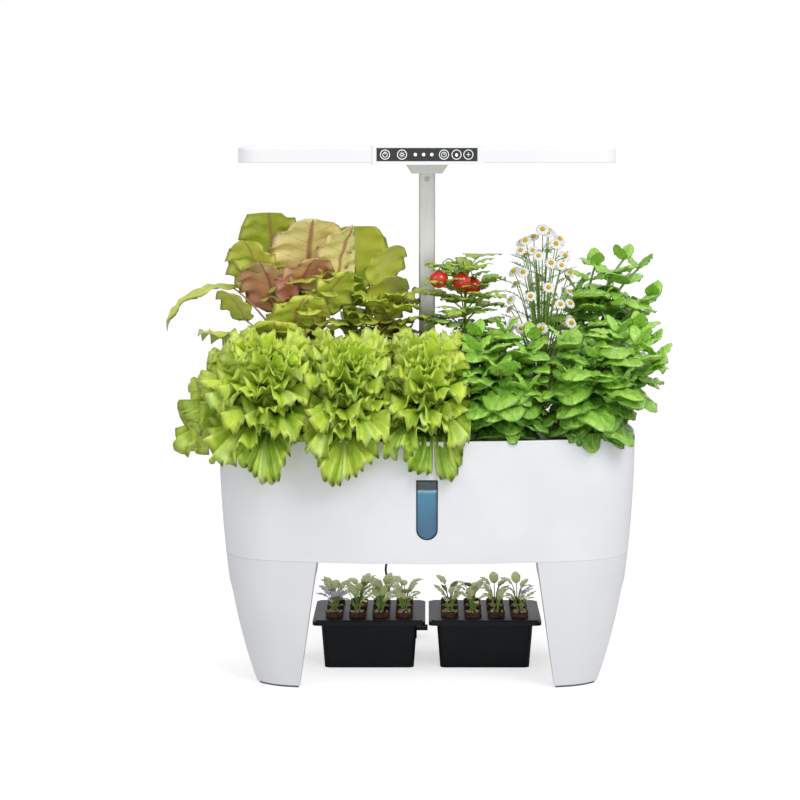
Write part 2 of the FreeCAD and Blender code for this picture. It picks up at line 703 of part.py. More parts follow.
def make_lamp_bracket():
    """Tapered bracket under the middle of the lamp, with the pocket for the inner tube."""
    top = CENTRE_BOTTOM_Z
    half_top = BRACKET_TOP_WIDTH / 2
    half_low = BRACKET_BOTTOM_WIDTH / 2
    y = MAST_Y - BRACKET_FRONT
    low = MAST_TOP_Z
    points = [V(-half_low, y, low), V(half_low, y, low), V(half_top, y, top), V(-half_top, y, top)]
    body = prism(points, V(0, BRACKET_FRONT + BRACKET_BACK, 0))
    upright = [e for e in body.Edges if e.BoundBox.ZLength > 1]
    body = body.makeFillet(BRACKET_ROUND, upright)
    inset = 2 * (MAST_WALL + MAST_SLIDE_GAP) - 2 * SOCKET_SEAM
    pocket = tube_block(MAST_WIDTH - inset, MAST_DEPTH - inset, MAST_ROUND - MAST_WALL,
                        MAST_TOP_Z - 1.0, top - BRACKET_ROOF)
    return body.cut(pocket)


def lamp_block(half_length, front, back, z0, z1, plan_round):
    """Block under the lamp's outline, from its front and back faces."""
    return rounded_block(-half_length, half_length, front, back, z0, z1, plan_round)


def make_lamp_housing():
    """Long lamp housing with a slightly proud middle, open underneath."""
    front = LAMP_Y - LAMP_DEPTH / 2
    back = LAMP_Y + LAMP_DEPTH / 2
    bar = lamp_block(LAMP_LENGTH / 2, front, back, BAR_BOTTOM_Z, BAR_TOP_Z, BAR_PLAN_ROUND)
    bar = bar.makeFillet(BAR_EDGE_ROUND, edges_at(bar, BAR_TOP_Z))
    bar = bar.makeFillet(LAMP_WALL / 2, edges_at(bar, BAR_BOTTOM_Z))
    middle = lamp_block(CENTRE_LENGTH / 2, front - CENTRE_PROUD, back + CENTRE_PROUD,
                        CENTRE_BOTTOM_Z, CENTRE_TOP_Z, CENTRE_PLAN_ROUND)
    middle = middle.makeFillet(CENTRE_EDGE_ROUND, edges_at(middle, CENTRE_TOP_Z))
    bar_room = lamp_block(LAMP_LENGTH / 2 - LAMP_WALL, front + LAMP_WALL, back - LAMP_WALL,
                          BAR_BOTTOM_Z - 1.0, BAR_TOP_Z - LAMP_WALL, BAR_PLAN_ROUND - LAMP_WALL)
    middle_room = lamp_block(CENTRE_LENGTH / 2 - LAMP_WALL, LAMP_FRONT_Y + FRONT_WALL,
                             back + CENTRE_PROUD - LAMP_WALL, CENTRE_BOTTOM_Z - 1.0,
                             CENTRE_TOP_Z - LAMP_WALL, CENTRE_PLAN_ROUND)
    room_ends = []
    for side in (-1, 1):
        x0, x1 = sorted((side * CENTRE_LENGTH / 2, side * LAMP_LENGTH / 2))
        room_ends.append(bar_room.common(box(x0, x1, front, back, BAR_BOTTOM_Z - 1.0, BAR_TOP_Z)))
    half = PANEL_LENGTH / 2 + PANEL_SEAM
    high = PANEL_HEIGHT / 2 + PANEL_SEAM
    recess = box(-half, half, LAMP_FRONT_Y - 1.0, LAMP_FRONT_Y + PANEL_THICKNESS - PANEL_PROUD,
                 LAMP_Z - high, LAMP_Z + high)
    shell = bar.fuse(middle).cut(Part.makeCompound(room_ends + [middle_room, recess]))
    pillars = []
    for x, y in pillar_places():
        pillars.append(cylinder(PILLAR_RADIUS, V(x, y, board_bottom_z() + BOARD_THICKNESS), Z_AXIS,
                                BAR_TOP_Z - LAMP_WALL / 2 - board_bottom_z() - BOARD_THICKNESS))
    return shell.multiFuse(pillars)


def board_bottom_z():
    """Height of the LED boards' underside."""
    return BAR_BOTTOM_Z + BOARD_HEIGHT


def board_span():
    """Inner and outer end, front and back of the right LED board."""
    x0 = CENTRE_LENGTH / 2 + BOARD_MARGIN
    x1 = LAMP_LENGTH / 2 - LAMP_WALL - BOARD_MARGIN
    y0 = LAMP_Y - LAMP_DEPTH / 2 + LAMP_WALL + BOARD_MARGIN
    y1 = LAMP_Y + LAMP_DEPTH / 2 - LAMP_WALL - BOARD_MARGIN
    return x0, x1, y0, y1


def pillar_places():
    """Plan positions of the pillars that carry the LED boards."""
    x0, x1, y0, y1 = board_span()
    places = []
    for side in (-1, 1):
        for x in (x0 + BOARD_MARGIN, x1 - BOARD_MARGIN):
            for y in (y0 + BOARD_MARGIN, y1 - BOARD_MARGIN):
                places.append((side * x, y))
    return places


def make_led_board():
    """Two LED boards with their chips on the underside."""
    x0, x1, y0, y1 = board_span()
    z = board_bottom_z()
    solids = []
    for side in (-1, 1):
        low, high = sorted((side * x0, side * x1))
        solids.append(box(low, high, y0, y1, z, z + BOARD_THICKNESS))
        for column in range(CHIP_COLUMNS):
            for row in range(CHIP_ROWS):
                x = low + (high - low) * (column + 0.5) / CHIP_COLUMNS
                y = y0 + (y1 - y0) * (row + 0.5) / CHIP_ROWS
                half = CHIP_SIZE / 2
                solids.append(box(x - half, x + half, y - half, y + half, z - CHIP_HEIGHT, z))
    return Part.makeCompound(solids)


def make_lamp_diffuser():
    """Two translucent panels that close the lamp's wings underneath."""
    front = LAMP_Y - LAMP_DEPTH / 2 + LAMP_WALL + COVER_SEAM
    back = LAMP_Y + LAMP_DEPTH / 2 - LAMP_WALL - COVER_SEAM
    z0 = BAR_BOTTOM_Z + DIFFUSER_RECESS
    whole = lamp_block(LAMP_LENGTH / 2 - LAMP_WALL - COVER_SEAM, front, back, z0, z0 + DIFFUSER_THICKNESS,
                       BAR_PLAN_ROUND - LAMP_WALL)
    middle = CENTRE_LENGTH / 2 + COVER_SEAM
    panels = whole.cut(box(-middle, middle, 2 * front, 2 * back, z0 - 1.0, z0 + 2 * DIFFUSER_THICKNESS))
    return Part.makeCompound(panels.Solids)


def make_lamp_bottom_cover():
    """Plate that closes the lamp's middle and carries the bracket."""
    front = LAMP_FRONT_Y + FRONT_WALL + COVER_SEAM
    back = LAMP_Y + LAMP_DEPTH / 2 + CENTRE_PROUD - LAMP_WALL - COVER_SEAM
    half = CENTRE_LENGTH / 2 - LAMP_WALL - COVER_SEAM
    return lamp_block(half, front, back, CENTRE_BOTTOM_Z, CENTRE_BOTTOM_Z + BOTTOM_COVER_THICKNESS,
                      CENTRE_PLAN_ROUND)


def make_control_panel():
    """Black touch panel in the front of the lamp."""
    y = LAMP_FRONT_Y - PANEL_PROUD
    return box(-PANEL_LENGTH / 2, PANEL_LENGTH / 2, y, y + PANEL_THICKNESS,
               LAMP_Z - PANEL_HEIGHT / 2, LAMP_Z + PANEL_HEIGHT / 2)


def make_control_board():
    """Touch and timer board behind the front wall of the lamp's middle."""
    y = LAMP_FRONT_Y + FRONT_WALL + CONTROL_BOARD_GAP
    return box(-CONTROL_BOARD_LENGTH / 2, CONTROL_BOARD_LENGTH / 2, y, y + BOARD_THICKNESS,
               LAMP_Z - CONTROL_BOARD_HEIGHT / 2, LAMP_Z + CONTROL_BOARD_HEIGHT / 2)


def make_pump_body():
    """Pump that stands on the tub's floor: chamber with its pin, and an outlet nozzle."""
    x0 = PUMP_X - PUMP_WIDTH / 2
    y0 = PUMP_Y - PUMP_DEPTH / 2
    top = TUB_FLOOR_Z + PUMP_HEIGHT
    body = rounded_block(x0, x0 + PUMP_WIDTH, y0, y0 + PUMP_DEPTH, TUB_FLOOR_Z, top, PUMP_ROUND)
    body = body.makeFillet(PUMP_ROUND / 2, edges_at(body, top))
    axis_z = TUB_FLOOR_Z + PUMP_HEIGHT / 2
    chamber = cylinder(CHAMBER_RADIUS, V(PUMP_X, y0 - 1.0, axis_z), Y_AXIS, CHAMBER_DEPTH + 1.0)
    pin = cylinder(PIN_RADIUS, V(PUMP_X, y0, axis_z), Y_AXIS, CHAMBER_DEPTH + 2.0)
    nozzle = cylinder(NOZZLE_RADIUS, V(PUMP_X, PUMP_Y, top - 1.0), Z_AXIS, NOZZLE_HEIGHT + 1.0)
    duct = cylinder(NOZZLE_BORE, V(PUMP_X, PUMP_Y, axis_z), Z_AXIS, PUMP_HEIGHT)
    duct_back = cylinder(NOZZLE_BORE, V(PUMP_X, PUMP_Y, axis_z + NOZZLE_BORE), Y_AXIS * -1, PUMP_DEPTH / 4)
    return body.cut(chamber).fuse(pin).fuse(nozzle).cut(Part.makeCompound([duct, duct_back]))


def make_pump_impeller():
    """Vaned wheel that runs on the pump's pin."""
    y0 = PUMP_Y - PUMP_DEPTH / 2 + CHAMBER_DEPTH - IMPELLER_BACK_GAP - IMPELLER_LENGTH
    axis_z = TUB_FLOOR_Z + PUMP_HEIGHT / 2
    start = V(PUMP_X, y0, axis_z)
    vanes = []
    for i in range(VANES):
        vane = box(0, IMPELLER_RADIUS, 0, IMPELLER_LENGTH, -VANE_THICKNESS / 2, VANE_THICKNESS / 2)
        vane.rotate(ORIGIN, Y_AXIS, 360.0 * i / VANES)
        vane.translate(start)
        vanes.append(vane)
    hub = cylinder(IMPELLER_HUB, start, Y_AXIS, IMPELLER_LENGTH)
    bore = cylinder(PIN_RADIUS + PIN_GAP, start - Y_AXIS, Y_AXIS, IMPELLER_LENGTH + 2.0)
    return hub.multiFuse(vanes).cut(bore)


def make_riser_hose():
    """Hose that stands on the pump's nozzle and ends under the deck."""
    bottom = TUB_FLOOR_Z + PUMP_HEIGHT
    length = LEDGE_Z - HOSE_TOP_GAP - bottom
    bore = NOZZLE_RADIUS + HOSE_GAP
    tube = cylinder(bore + HOSE_WALL, V(PUMP_X, PUMP_Y, bottom), Z_AXIS, length)
    return tube.cut(cylinder(bore, V(PUMP_X, PUMP_Y, bottom), Z_AXIS, length))


def gland_back_y():
    """Where the tub's rear wall is at the gland."""
    bulge = FRONT_RADIUS - math.sqrt(FRONT_RADIUS ** 2 - CORD_X ** 2)
    return half_size(RIM_HALF_DEPTH, GLAND_Z) - bulge


def cord_exit():
    """Tip of the strain relief, where the cord begins."""
    y = gland_back_y() + GLAND_SEAT + GLAND_DEPTH / 2
    return V(CORD_X, y, GLAND_Z + GLAND_RISE - GLAND_BLOCK - RELIEF_LENGTH)


def make_cord_gland():
    """Elbow gland on the rear wall: stem, inner nut, block and tapered strain relief."""
    back = gland_back_y() + GLAND_SEAT
    top = GLAND_Z + GLAND_RISE
    block = rounded_block(CORD_X - GLAND_WIDTH / 2, CORD_X + GLAND_WIDTH / 2, back, back + GLAND_DEPTH,
                          top - GLAND_BLOCK, top, GLAND_ROUND)
    block = block.makeFillet(GLAND_ROUND / 2, edges_at(block, top))
    inside = back - GLAND_SEAT - WALL - GLAND_INSIDE - GLAND_NUT
    stem = cylinder(GLAND_STEM_RADIUS, V(CORD_X, inside, GLAND_Z), Y_AXIS, back + 1.0 - inside)
    nut = cylinder(GLAND_NUT_RADIUS, V(CORD_X, inside, GLAND_Z), Y_AXIS, GLAND_NUT)
    tip = cord_exit()
    relief = cone(RELIEF_TIP_RADIUS, RELIEF_ROOT_RADIUS, tip.z, tip.z + RELIEF_LENGTH, tip.x, tip.y)
    return block.multiFuse([stem, nut, relief])


def coil_layer_z(layer):
    """Height of the middle of the cord in a layer of the coil."""
    return CORD_RADIUS + layer * COIL_PITCH


def coil_start():
    """Where the cord lies beside the coil and runs into it, heading to -X."""
    radius = COIL_MEAN_RADIUS + COIL_PITCH * COIL_TURNS_PER_LAYER / 2
    return V(COIL_X + CORD_DIAMETER, COIL_Y - radius, coil_layer_z(0))


def cord_route():
    """Hand-chosen points of the cord from the strain relief to the coil."""
    start = cord_exit()
    end = coil_start()
    return [
        start,
        V(-60.0, start.y, 250.0),
        V(-59.0, 161.0, 212.0),
        V(-62.5, 163.0, 172.0),
        V(-57.5, 164.5, 140.0),
        V(-66.0, 165.5, 117.0),
        V(-57.0, 166.0, 94.0),
        V(-61.5, 168.5, 62.0),
        V(-60.0, 166.0, 36.0),
        V(-66.0, 165.0, 13.0),
        V(-84.0, 167.5, 2.6),
        V(-101.0, end.y, CORD_RADIUS),
        end,
    ]


def make_power_cord():
    """Free stretch of cord: straight runs joined by tangent arcs."""
    points = cord_route()
    edges = []
    place = points[0]
    radii = []
    for before, point, after in zip(points, points[1:], points[2:]):
        run_in = point - before
        run_out = after - point
        shorter = min(run_in.Length, run_out.Length)
        reach = CORD_LEAD * shorter
        half_turn = run_in.getAngle(run_out) / 2
        radii.append(reach / math.tan(half_turn))
        a = point - run_in.normalize() * reach
        b = point + run_out.normalize() * reach
        chord = (a + b) * 0.5
        sagitta = radii[-1] * (1 - math.cos(half_turn))
        middle = chord + (point - chord).normalize() * sagitta
        edges.append(line(place, a))
        edges.append(arc(a, middle, b))
        place = b
    edges.append(line(place, points[-1]))
    path = Part.Wire(edges)
    direction = points[1] - points[0]
    circle = Part.Wire([Part.makeCircle(CORD_RADIUS, points[0], direction)])
    tube = path.makePipeShell([circle], True, False)
    expected = math.pi * CORD_RADIUS ** 2 * path.Length
    print("power_cord length", round(path.Length, 1), "least radius", round(min(radii), 1),
          "volume share", round(tube.Volume / expected, 5))
    print("power_cord radii", [round(r) for r in radii])
    return tube


def coil_at(turn):
    """Place and direction on the coil's centre line after a number of turns, clockwise from -Y."""
    per_layer = COIL_TURNS_PER_LAYER
    period = per_layer + 0.5
    layer = min(int(turn / period), COIL_LAYERS - 1)
    part_turn = turn - layer * period
    inward = 1 if layer % 2 == 0 else -1
    large = COIL_MEAN_RADIUS + COIL_PITCH * per_layer / 2
    small = large - COIL_PITCH * per_layer
    start_radius = large if inward == 1 else small
    if part_turn <= per_layer:
        radius = start_radius - inward * COIL_PITCH * part_turn
        slope = -inward * COIL_PITCH
        z = coil_layer_z(layer)
        climb = 0.0
    else:
        u = (part_turn - per_layer) / 0.5
        end_radius = small if inward == 1 else large
        radius = end_radius - inward * COIL_PITCH * 0.5 * math.sin(math.pi * u) / math.pi
        slope = -inward * COIL_PITCH * math.cos(math.pi * u)
        z = coil_layer_z(layer) + COIL_PITCH * (1 - math.cos(math.pi * u)) / 2
        climb = COIL_PITCH * math.pi * math.sin(math.pi * u)
    angle = -math.pi / 2 - 2 * math.pi * turn
    place = V(COIL_X + radius * math.cos(angle), COIL_Y + radius * math.sin(angle), z)
    radial = V(math.cos(angle), math.sin(angle), 0)
    round_way = V(math.sin(angle), -math.cos(angle), 0)
    direction = radial * slope + round_way * (2 * math.pi * radius) + V(0, 0, climb)
    return place, direction.normalize()


def tangent_arc(start, direction, end):
    """Arc that leaves the start along a direction and passes the end."""
    chord = end - start
    normal = chord - direction * chord.dot(direction)
    if normal.Length < 0.000001:
        return line(start, end)
    normal.normalize()
    radius = chord.Length ** 2 / (2 * normal.dot(chord))
    centre = start + normal * radius
    middle = centre + ((start - centre) + (end - centre)).normalize() * radius
    return arc(start, middle, end)


def biarc(start, direction, end, end_direction):
    """Two arcs that join two places along their directions."""
    chord = end - start
    both = direction + end_direction
    bend = 2 * (1 - direction.dot(end_direction))
    along = chord.dot(both)
    if bend < 0.000001:
        reach = chord.Length ** 2 / (2 * along)
    else:
        reach = (-along + math.sqrt(along ** 2 + bend * chord.Length ** 2)) / bend
    joint = (start + end + (direction - end_direction) * reach) * 0.5
    first = tangent_arc(start, direction, joint)
    second = tangent_arc(end, end_direction * -1, joint)
    return [first, second]


def least_gap(edges):
    """Least clear gap of the coil's tube to itself, measured on points of its centre line."""
    points = []
    for edge in edges:
        points += edge.discretize(7)[:-1]
    skip = int(len(points) / (coil_turns() * 2))
    least = 1000.0
    for i, a in enumerate(points):
        for b in points[i + skip:]:
            if abs(a.x - b.x) < COIL_PITCH * 2 and abs(a.y - b.y) < COIL_PITCH * 2:
                least = min(least, a.distanceToPoint(b))
    return least - CORD_DIAMETER


def coil_turns():
    """Number of turns in the whole coil."""
    return COIL_LAYERS * COIL_TURNS_PER_LAYER + 0.5 * (COIL_LAYERS - 1)


def coil_end():
    """Where the coil's last straight run meets the adapter."""
    place, direction = coil_at(coil_turns())
    return place + X_AXIS * COIL_END_RUN


def make_cord_coil():
    """Put-away length of cord: one unbroken tube in layers that spiral in and out."""
    quarters = int(round(coil_turns() * 4))
    marks = [coil_at(i / 4.0) for i in range(quarters + 1)]
    marks[0] = (marks[0][0], X_AXIS * -1)
    marks[-1] = (marks[-1][0], X_AXIS)
    start = coil_start()
    edges = [line(start, marks[0][0])]
    for (p, d), (q, e) in zip(marks, marks[1:]):
        edges += biarc(p, d, q, e)
    edges.append(line(marks[-1][0], coil_end()))
    path = Part.Wire(edges)
    circle = Part.Wire([Part.makeCircle(CORD_RADIUS, start, X_AXIS)])
    tube = path.makePipeShell([circle], True, False)
    expected = math.pi * CORD_RADIUS ** 2 * path.Length
    print("cord_coil length", round(path.Length, 1), "turns", coil_turns(),
          "least gap", round(least_gap(edges[1:-1]), 2), "volume share", round(tube.Volume / expected, 5))
    return tube


def make_power_adapter():
    """Wall adapter on the cord's end: body, strain relief and two flat pins."""
    end = coil_end()
    x0 = end.x + ADAPTER_RELIEF
    height = 2 * end.z
    body = rounded_block(x0, x0 + ADAPTER_LENGTH, end.y - ADAPTER_WIDTH / 2, end.y + ADAPTER_WIDTH / 2,
                         0.0, height, ADAPTER_ROUND)
    body = body.makeFillet(ADAPTER_ROUND / 2, edges_at(body, height))
    relief = Part.makeCone(RELIEF_TIP_RADIUS, ADAPTER_RELIEF_RADIUS, ADAPTER_RELIEF + 1.0, end, X_AXIS)
    face = x0 + ADAPTER_LENGTH
    pins = []
    for side in (-1, 1):
        y = end.y + side * PIN_SPACING / 2
        pins.append(box(face - PIN_ROOT, face + PIN_LENGTH, y - PIN_THICKNESS / 2, y + PIN_THICKNESS / 2,
                        end.z - PIN_WIDTH / 2, end.z + PIN_WIDTH / 2))
    return body.multiFuse([relief] + pins)


def tray_box(inset, z0, z1, plan_round):
    """Upright block of a tray's plan, drawn in by an inset, about X = 0."""
    return rounded_block(-TRAY_WIDTH / 2 + inset, TRAY_WIDTH / 2 - inset, TRAY_FRONT_Y + inset,
                         TRAY_FRONT_Y + TRAY_DEPTH - inset, z0, z1, plan_round)


def tray_taper(floor_inset, top_inset, z0, z1, plan_round):
    """Tapered block of a tray's body, about X = 0."""
    wires = []
    for inset, z in ((floor_inset, z0), (top_inset, z1)):
        wires.append(rounded_rectangle(-TRAY_WIDTH / 2 + inset, TRAY_WIDTH / 2 - inset, TRAY_FRONT_Y + inset,
                                       TRAY_FRONT_Y + TRAY_DEPTH - inset, plan_round, z))
    return Part.makeLoft(wires, True, True)


def make_tray():
    """Seedling tray: tapered tub with a wide turned-down lip, about X = 0."""
    lip_bottom = TRAY_HEIGHT - TRAY_LIP
    body = tray_taper(TRAY_BODY_FLOOR_INSET, TRAY_BODY_TOP_INSET, 0.0, lip_bottom + TRAY_WALL, TRAY_ROUND)
    room = tray_taper(TRAY_BODY_FLOOR_INSET + TRAY_WALL, TRAY_BODY_TOP_INSET + TRAY_WALL,
                      TRAY_WALL, TRAY_HEIGHT + 1.0, TRAY_ROUND - TRAY_WALL)
    lip = tray_box(0.0, lip_bottom, TRAY_HEIGHT, TRAY_ROUND)
    under = tray_box(TRAY_WALL, lip_bottom - 1.0, TRAY_HEIGHT - TRAY_WALL, TRAY_ROUND - TRAY_WALL)
    keep = tray_taper(TRAY_BODY_FLOOR_INSET, TRAY_BODY_TOP_INSET, 0.0, TRAY_HEIGHT, TRAY_ROUND)
    return body.fuse(lip.cut(under.cut(keep))).cut(room)


def cell_places():
    """Plan positions of a tray's twelve cells, about X = 0."""
    middle_y = TRAY_FRONT_Y + TRAY_DEPTH / 2
    places = []
    for row in range(CELL_ROWS):
        for column in range(CELL_COLUMNS):
            x = (column - (CELL_COLUMNS - 1) / 2) * CELL_PITCH_X
            y = middle_y + (row - (CELL_ROWS - 1) / 2) * CELL_PITCH_Y
            places.append((x, y))
    return places


def pot_bottom_z():
    """Height of the peat pots' undersides."""
    return TRAY_HEIGHT + POT_PROUD - POT_HEIGHT


def make_cell_insert():
    """Plate on the tray's lip with twelve round cells, about X = 0."""
    top = TRAY_HEIGHT + INSERT_THICKNESS
    plate = tray_box(INSERT_INSET, TRAY_HEIGHT, top, TRAY_ROUND - INSERT_INSET / 2)
    radius = POT_RADIUS + POT_GAP
    low = pot_bottom_z() - CELL_WALL
    cell_height = TRAY_HEIGHT + INSERT_THICKNESS / 2 - low
    bores = []
    cells = []
    for x, y in cell_places():
        bores.append(cylinder(radius, V(x, y, pot_bottom_z()), Z_AXIS, TRAY_HEIGHT))
        cells.append(cylinder(radius + CELL_WALL, V(x, y, low), Z_AXIS, cell_height))
    return plate.multiFuse(cells).cut(Part.makeCompound(bores))


def make_peat_pot():
    """Round peat pot with its soil, at the origin in plan."""
    low = pot_bottom_z()
    top = TRAY_HEIGHT + POT_PROUD
    inner = POT_RADIUS - POT_RIM
    soil = top - POT_SOIL_DROP
    points = [V(0, 0, low), V(POT_FLOOR_RADIUS, 0, low), V(POT_RADIUS, 0, top - POT_RIM),
              V(POT_RADIUS, 0, top), V(inner, 0, top), V(inner, 0, soil), V(0, 0, soil)]
    return Part.Face(Part.makePolygon(points + points[:1])).revolve(ORIGIN, Z_AXIS, 360)


class Foliage:
    """A plant as one solid: stalks, single leaves and leaf tiers grown on a root plug."""

    def __init__(self, x, y, cell=None):
        self.x = x
        self.y = y
        self.cell = cell
        self.root_z = DECK_TOP_Z + CUP_FLANGE_HEIGHT - PLUG_DROP
        self.pieces = []

    def crown(self, height):
        """Place on the plant's own axis, a height above the root plug."""
        return V(self.x, self.y, self.root_z + height)

    def room(self, azimuth):
        """Distance from the plant's axis to the wall of its cell along a direction."""
        x0, x1, y0, y1 = self.cell
        cos, sin = math.cos(math.radians(azimuth)), math.sin(math.radians(azimuth))
        across = (x1 - self.x if cos > 0 else x0 - self.x) / (cos if abs(cos) > 0.001 else 0.001)
        along = (y1 - self.y if sin > 0 else y0 - self.y) / (sin if abs(sin) > 0.001 else 0.001)
        return min(abs(across), abs(along))

    def stalk(self, start, azimuth, lean, length, radius):
        """Round stalk from a place; returns its far end."""
        turn = math.radians(azimuth)
        tilt = math.radians(lean)
        direction = V(math.sin(tilt) * math.cos(turn), math.sin(tilt) * math.sin(turn), math.cos(tilt))
        self.pieces.append(cylinder(radius, start, direction, length))
        return start + direction * length

    def leaf(self, place, azimuth, length, width, middle, tip):
        """Arched pointed leaf; middle and tip are its heights above the place."""
        root = -LEAF_ROOT
        low = min(0.0, tip) - LEAF_THICKNESS - 1.0
        high = max(0.0, middle, tip) + abs(middle) + abs(tip) + 1.0
        y = -width / 2
        down = V(0, 0, -LEAF_THICKNESS)
        a, b, c = V(root, y, 0), V(length / 2, y, middle), V(length, y, tip)
        under = arc(c + down, b + down, a + down)
        side = Part.Wire([arc(a, b, c), line(c, c + down), under, line(a + down, a)])
        band = Part.Face(side).extrude(V(0, width, 0))
        start, end = V(root, 0, low), V(length, 0, low)
        blade = Part.Wire([arc(start, V(length * LEAF_BROADEST, y, low), end),
                           arc(end, V(length * LEAF_BROADEST, -y, low), start)])
        leaf = band.common(Part.Face(blade).extrude(V(0, 0, high - low)))
        leaf.rotate(ORIGIN, Z_AXIS, azimuth)
        leaf.translate(place)
        self.pieces.append(leaf)

    def whorl(self, place, count, phase, length, width, middle, tip):
        """Ring of like leaves round a place."""
        for i in range(count):
            self.leaf(place, phase + 360.0 * i / count, length, width, middle, tip)

    def tier(self, height, count, phase, bend, edge, side_reach=None):
        """Ring of joined leaves: a cone that rises to the bend and falls or rises on to the edge.

        bend and edge are (radius, height) pairs; side_reach gives single leaves a longer reach by
        their number. No leaf leaves the plant's cell.
        """
        reaches = []
        for i in range(count):
            azimuth = phase + 360.0 * i / count
            wanted = edge[0] if side_reach is None else side_reach.get(i, edge[0])
            beside = min(self.room(azimuth - 90.0 / count), self.room(azimuth + 90.0 / count))
            reaches.append(min(wanted, self.room(azimuth), beside * LEAF_BULGE_ROOM))
        longest = max(reaches) + 1.0
        slope = (edge[1] - bend[1]) / (edge[0] - bend[0])
        far = (longest, bend[1] + slope * (longest - bend[0]))
        down = -LEAF_THICKNESS
        profile = [V(0, 0, 0), V(bend[0], 0, bend[1]), V(far[0], 0, far[1]),
                   V(far[0], 0, far[1] + down), V(bend[0], 0, bend[1] + down), V(0, 0, down)]
        bowl = Part.Face(Part.makePolygon(profile + profile[:1])).revolve(ORIGIN, Z_AXIS, 360)
        low = min(0.0, far[1], bend[1]) + 2 * down
        high = max(0.0, far[1], bend[1]) - 2 * down
        edges = []
        for i, reach in enumerate(reaches):
            azimuth = phase + 360.0 * i / count
            half = 180.0 / count
            before = LEAF_VALLEY * min(reach, reaches[i - 1])
            after = LEAF_VALLEY * min(reach, reaches[(i + 1) % count])
            left = polar(azimuth - half * LEAF_BULGE, reach * LEAF_BULGE_REACH, low)
            right = polar(azimuth + half * LEAF_BULGE, reach * LEAF_BULGE_REACH, low)
            edges.append(line(polar(azimuth - half, before, low), left))
            edges.append(arc(left, polar(azimuth, reach, low), right))
            edges.append(line(right, polar(azimuth + half, after, low)))
        blades = Part.Face(Part.Wire(edges)).extrude(V(0, 0, high - low))
        leaves = bowl.common(blades)
        leaves.translate(self.crown(height))
        self.pieces.append(leaves)

    def ball(self, place, radius):
        """Round fruit or flower head, its poles clear of the stalk."""
        self.pieces.append(Part.makeSphere(radius, place, Y_AXIS))

    def grown(self):
        """All pieces joined on the root plug, held inside the plant's own cell."""
        x0, x1, y0, y1 = self.cell
        plug = make_root_plug()
        plug.translate(V(self.x, self.y, 0))
        whole = plug.multiFuse(self.pieces)
        b = whole.BoundBox
        if b.XMin < x0 or b.XMax > x1 or b.YMin < y0 or b.YMax > y1:
            whole = whole.common(box(x0, x1, y0, y1, CUP_BOTTOM_Z, LAMP_Z))
        return whole


def polar(azimuth, radius, z):
    """Point at an azimuth and a radius about the origin."""
    turn = math.radians(azimuth)
    return V(radius * math.cos(turn), radius * math.sin(turn), z)


def grow_frilly_lettuce(plant, reach=None):
    """Full rosette of wide leaves in four tiers."""
    plant.stalk(plant.crown(-1.0), 0, 0, 52.0, 9.0)
    plant.tier(12.0, 8, 0, (46.0, 34.0), (96.0, 10.0), reach)
    plant.tier(26.0, 7, 20, (30.0, 40.0), (78.0, 62.0), reach)
    plant.tier(36.0, 7, 0, (22.0, 52.0), (56.0, 108.0))
    plant.tier(46.0, 6, 25, (14.0, 60.0), (34.0, 126.0))


def grow_lettuce_left(plant):
    """Frilly lettuce that spreads out past the tub's left end."""
    grow_frilly_lettuce(plant, {3: 118.0, 4: 126.0, 5: 110.0, 6: 104.0})


def grow_lettuce_middle(plant):
    """Frilly lettuce that hangs over the rim."""
    grow_frilly_lettuce(plant)
    plant.leaf(plant.crown(22.0), -84, 108.0, 70.0, 22.0, -72.0)


def grow_lettuce_right(plant):
    """Frilly lettuce in the middle of the front row."""
    grow_frilly_lettuce(plant)


def grow_basil(plant, heights=(56.0, 94.0, 130.0, 164.0, 188.0), reach=None):
    """Upright stem with tiers of crossed leaves."""
    plant.stalk(plant.crown(-1.0), 0, 0, heights[-1] + 4.0, 3.0)
    for i, height in enumerate(heights):
        radius = BASIL_LEAVES[i]
        side_reach = reach if i < 3 else None
        plant.tier(height, 6, 30 * (i % 2), (radius * 0.5, 13.0), (radius, 0.0), side_reach)


def grow_basil_middle(plant):
    """Basil in the front row with longer leaves towards the front."""
    grow_basil(plant, reach={4: 96.0, 5: 84.0})


def grow_basil_right(plant):
    """Basil that leans out past the tub's right end."""
    grow_basil(plant, reach={4: 92.0, 5: 88.0, 0: 84.0})
    tip = plant.stalk(plant.crown(20.0), 4, 40.0, 152.0, 2.2)
    plant.whorl(tip, 4, 0, 51.0, 36.0, 12.0, -4.0)


def grow_basil_back(plant):
    """Tall basil at the back on the right."""
    grow_basil(plant, heights=(96.0, 140.0, 184.0, 224.0, 254.0), reach={1: 92.0, 2: 84.0, 0: 80.0})
    tip = plant.stalk(plant.crown(60.0), 6, 34.0, 186.0, 2.4)
    plant.whorl(tip, 4, 0, 40.0, 32.0, 12.0, -3.0)


def grow_mustard(plant):
    """Large veined leaves on long stalks, one of them drooping far to the left."""
    plant.stalk(plant.crown(-1.0), 0, 0, 40.0, 7.0)
    plant.tier(34.0, 6, 0, (30.0, 60.0), (50.0, 74.0))
    shoots = (
        (180, 30.0, 226.0, 91.0, 60.0, 12.0, -34.0),
        (176, 17.0, 284.0, 84.0, 58.0, 14.0, 4.0),
        (20, 3.0, 268.0, 38.0, 62.0, 24.0, 34.0),
        (-20, 7.0, 226.0, 28.0, 56.0, 12.0, -4.0),
        (-160, 9.0, 196.0, 52.0, 50.0, 14.0, -6.0),
    )
    for azimuth, lean, length, leaf_length, width, middle, drop in shoots:
        tip = plant.stalk(plant.crown(10.0), azimuth, lean, length, 2.6)
        plant.leaf(tip, azimuth, leaf_length, width, middle, drop)


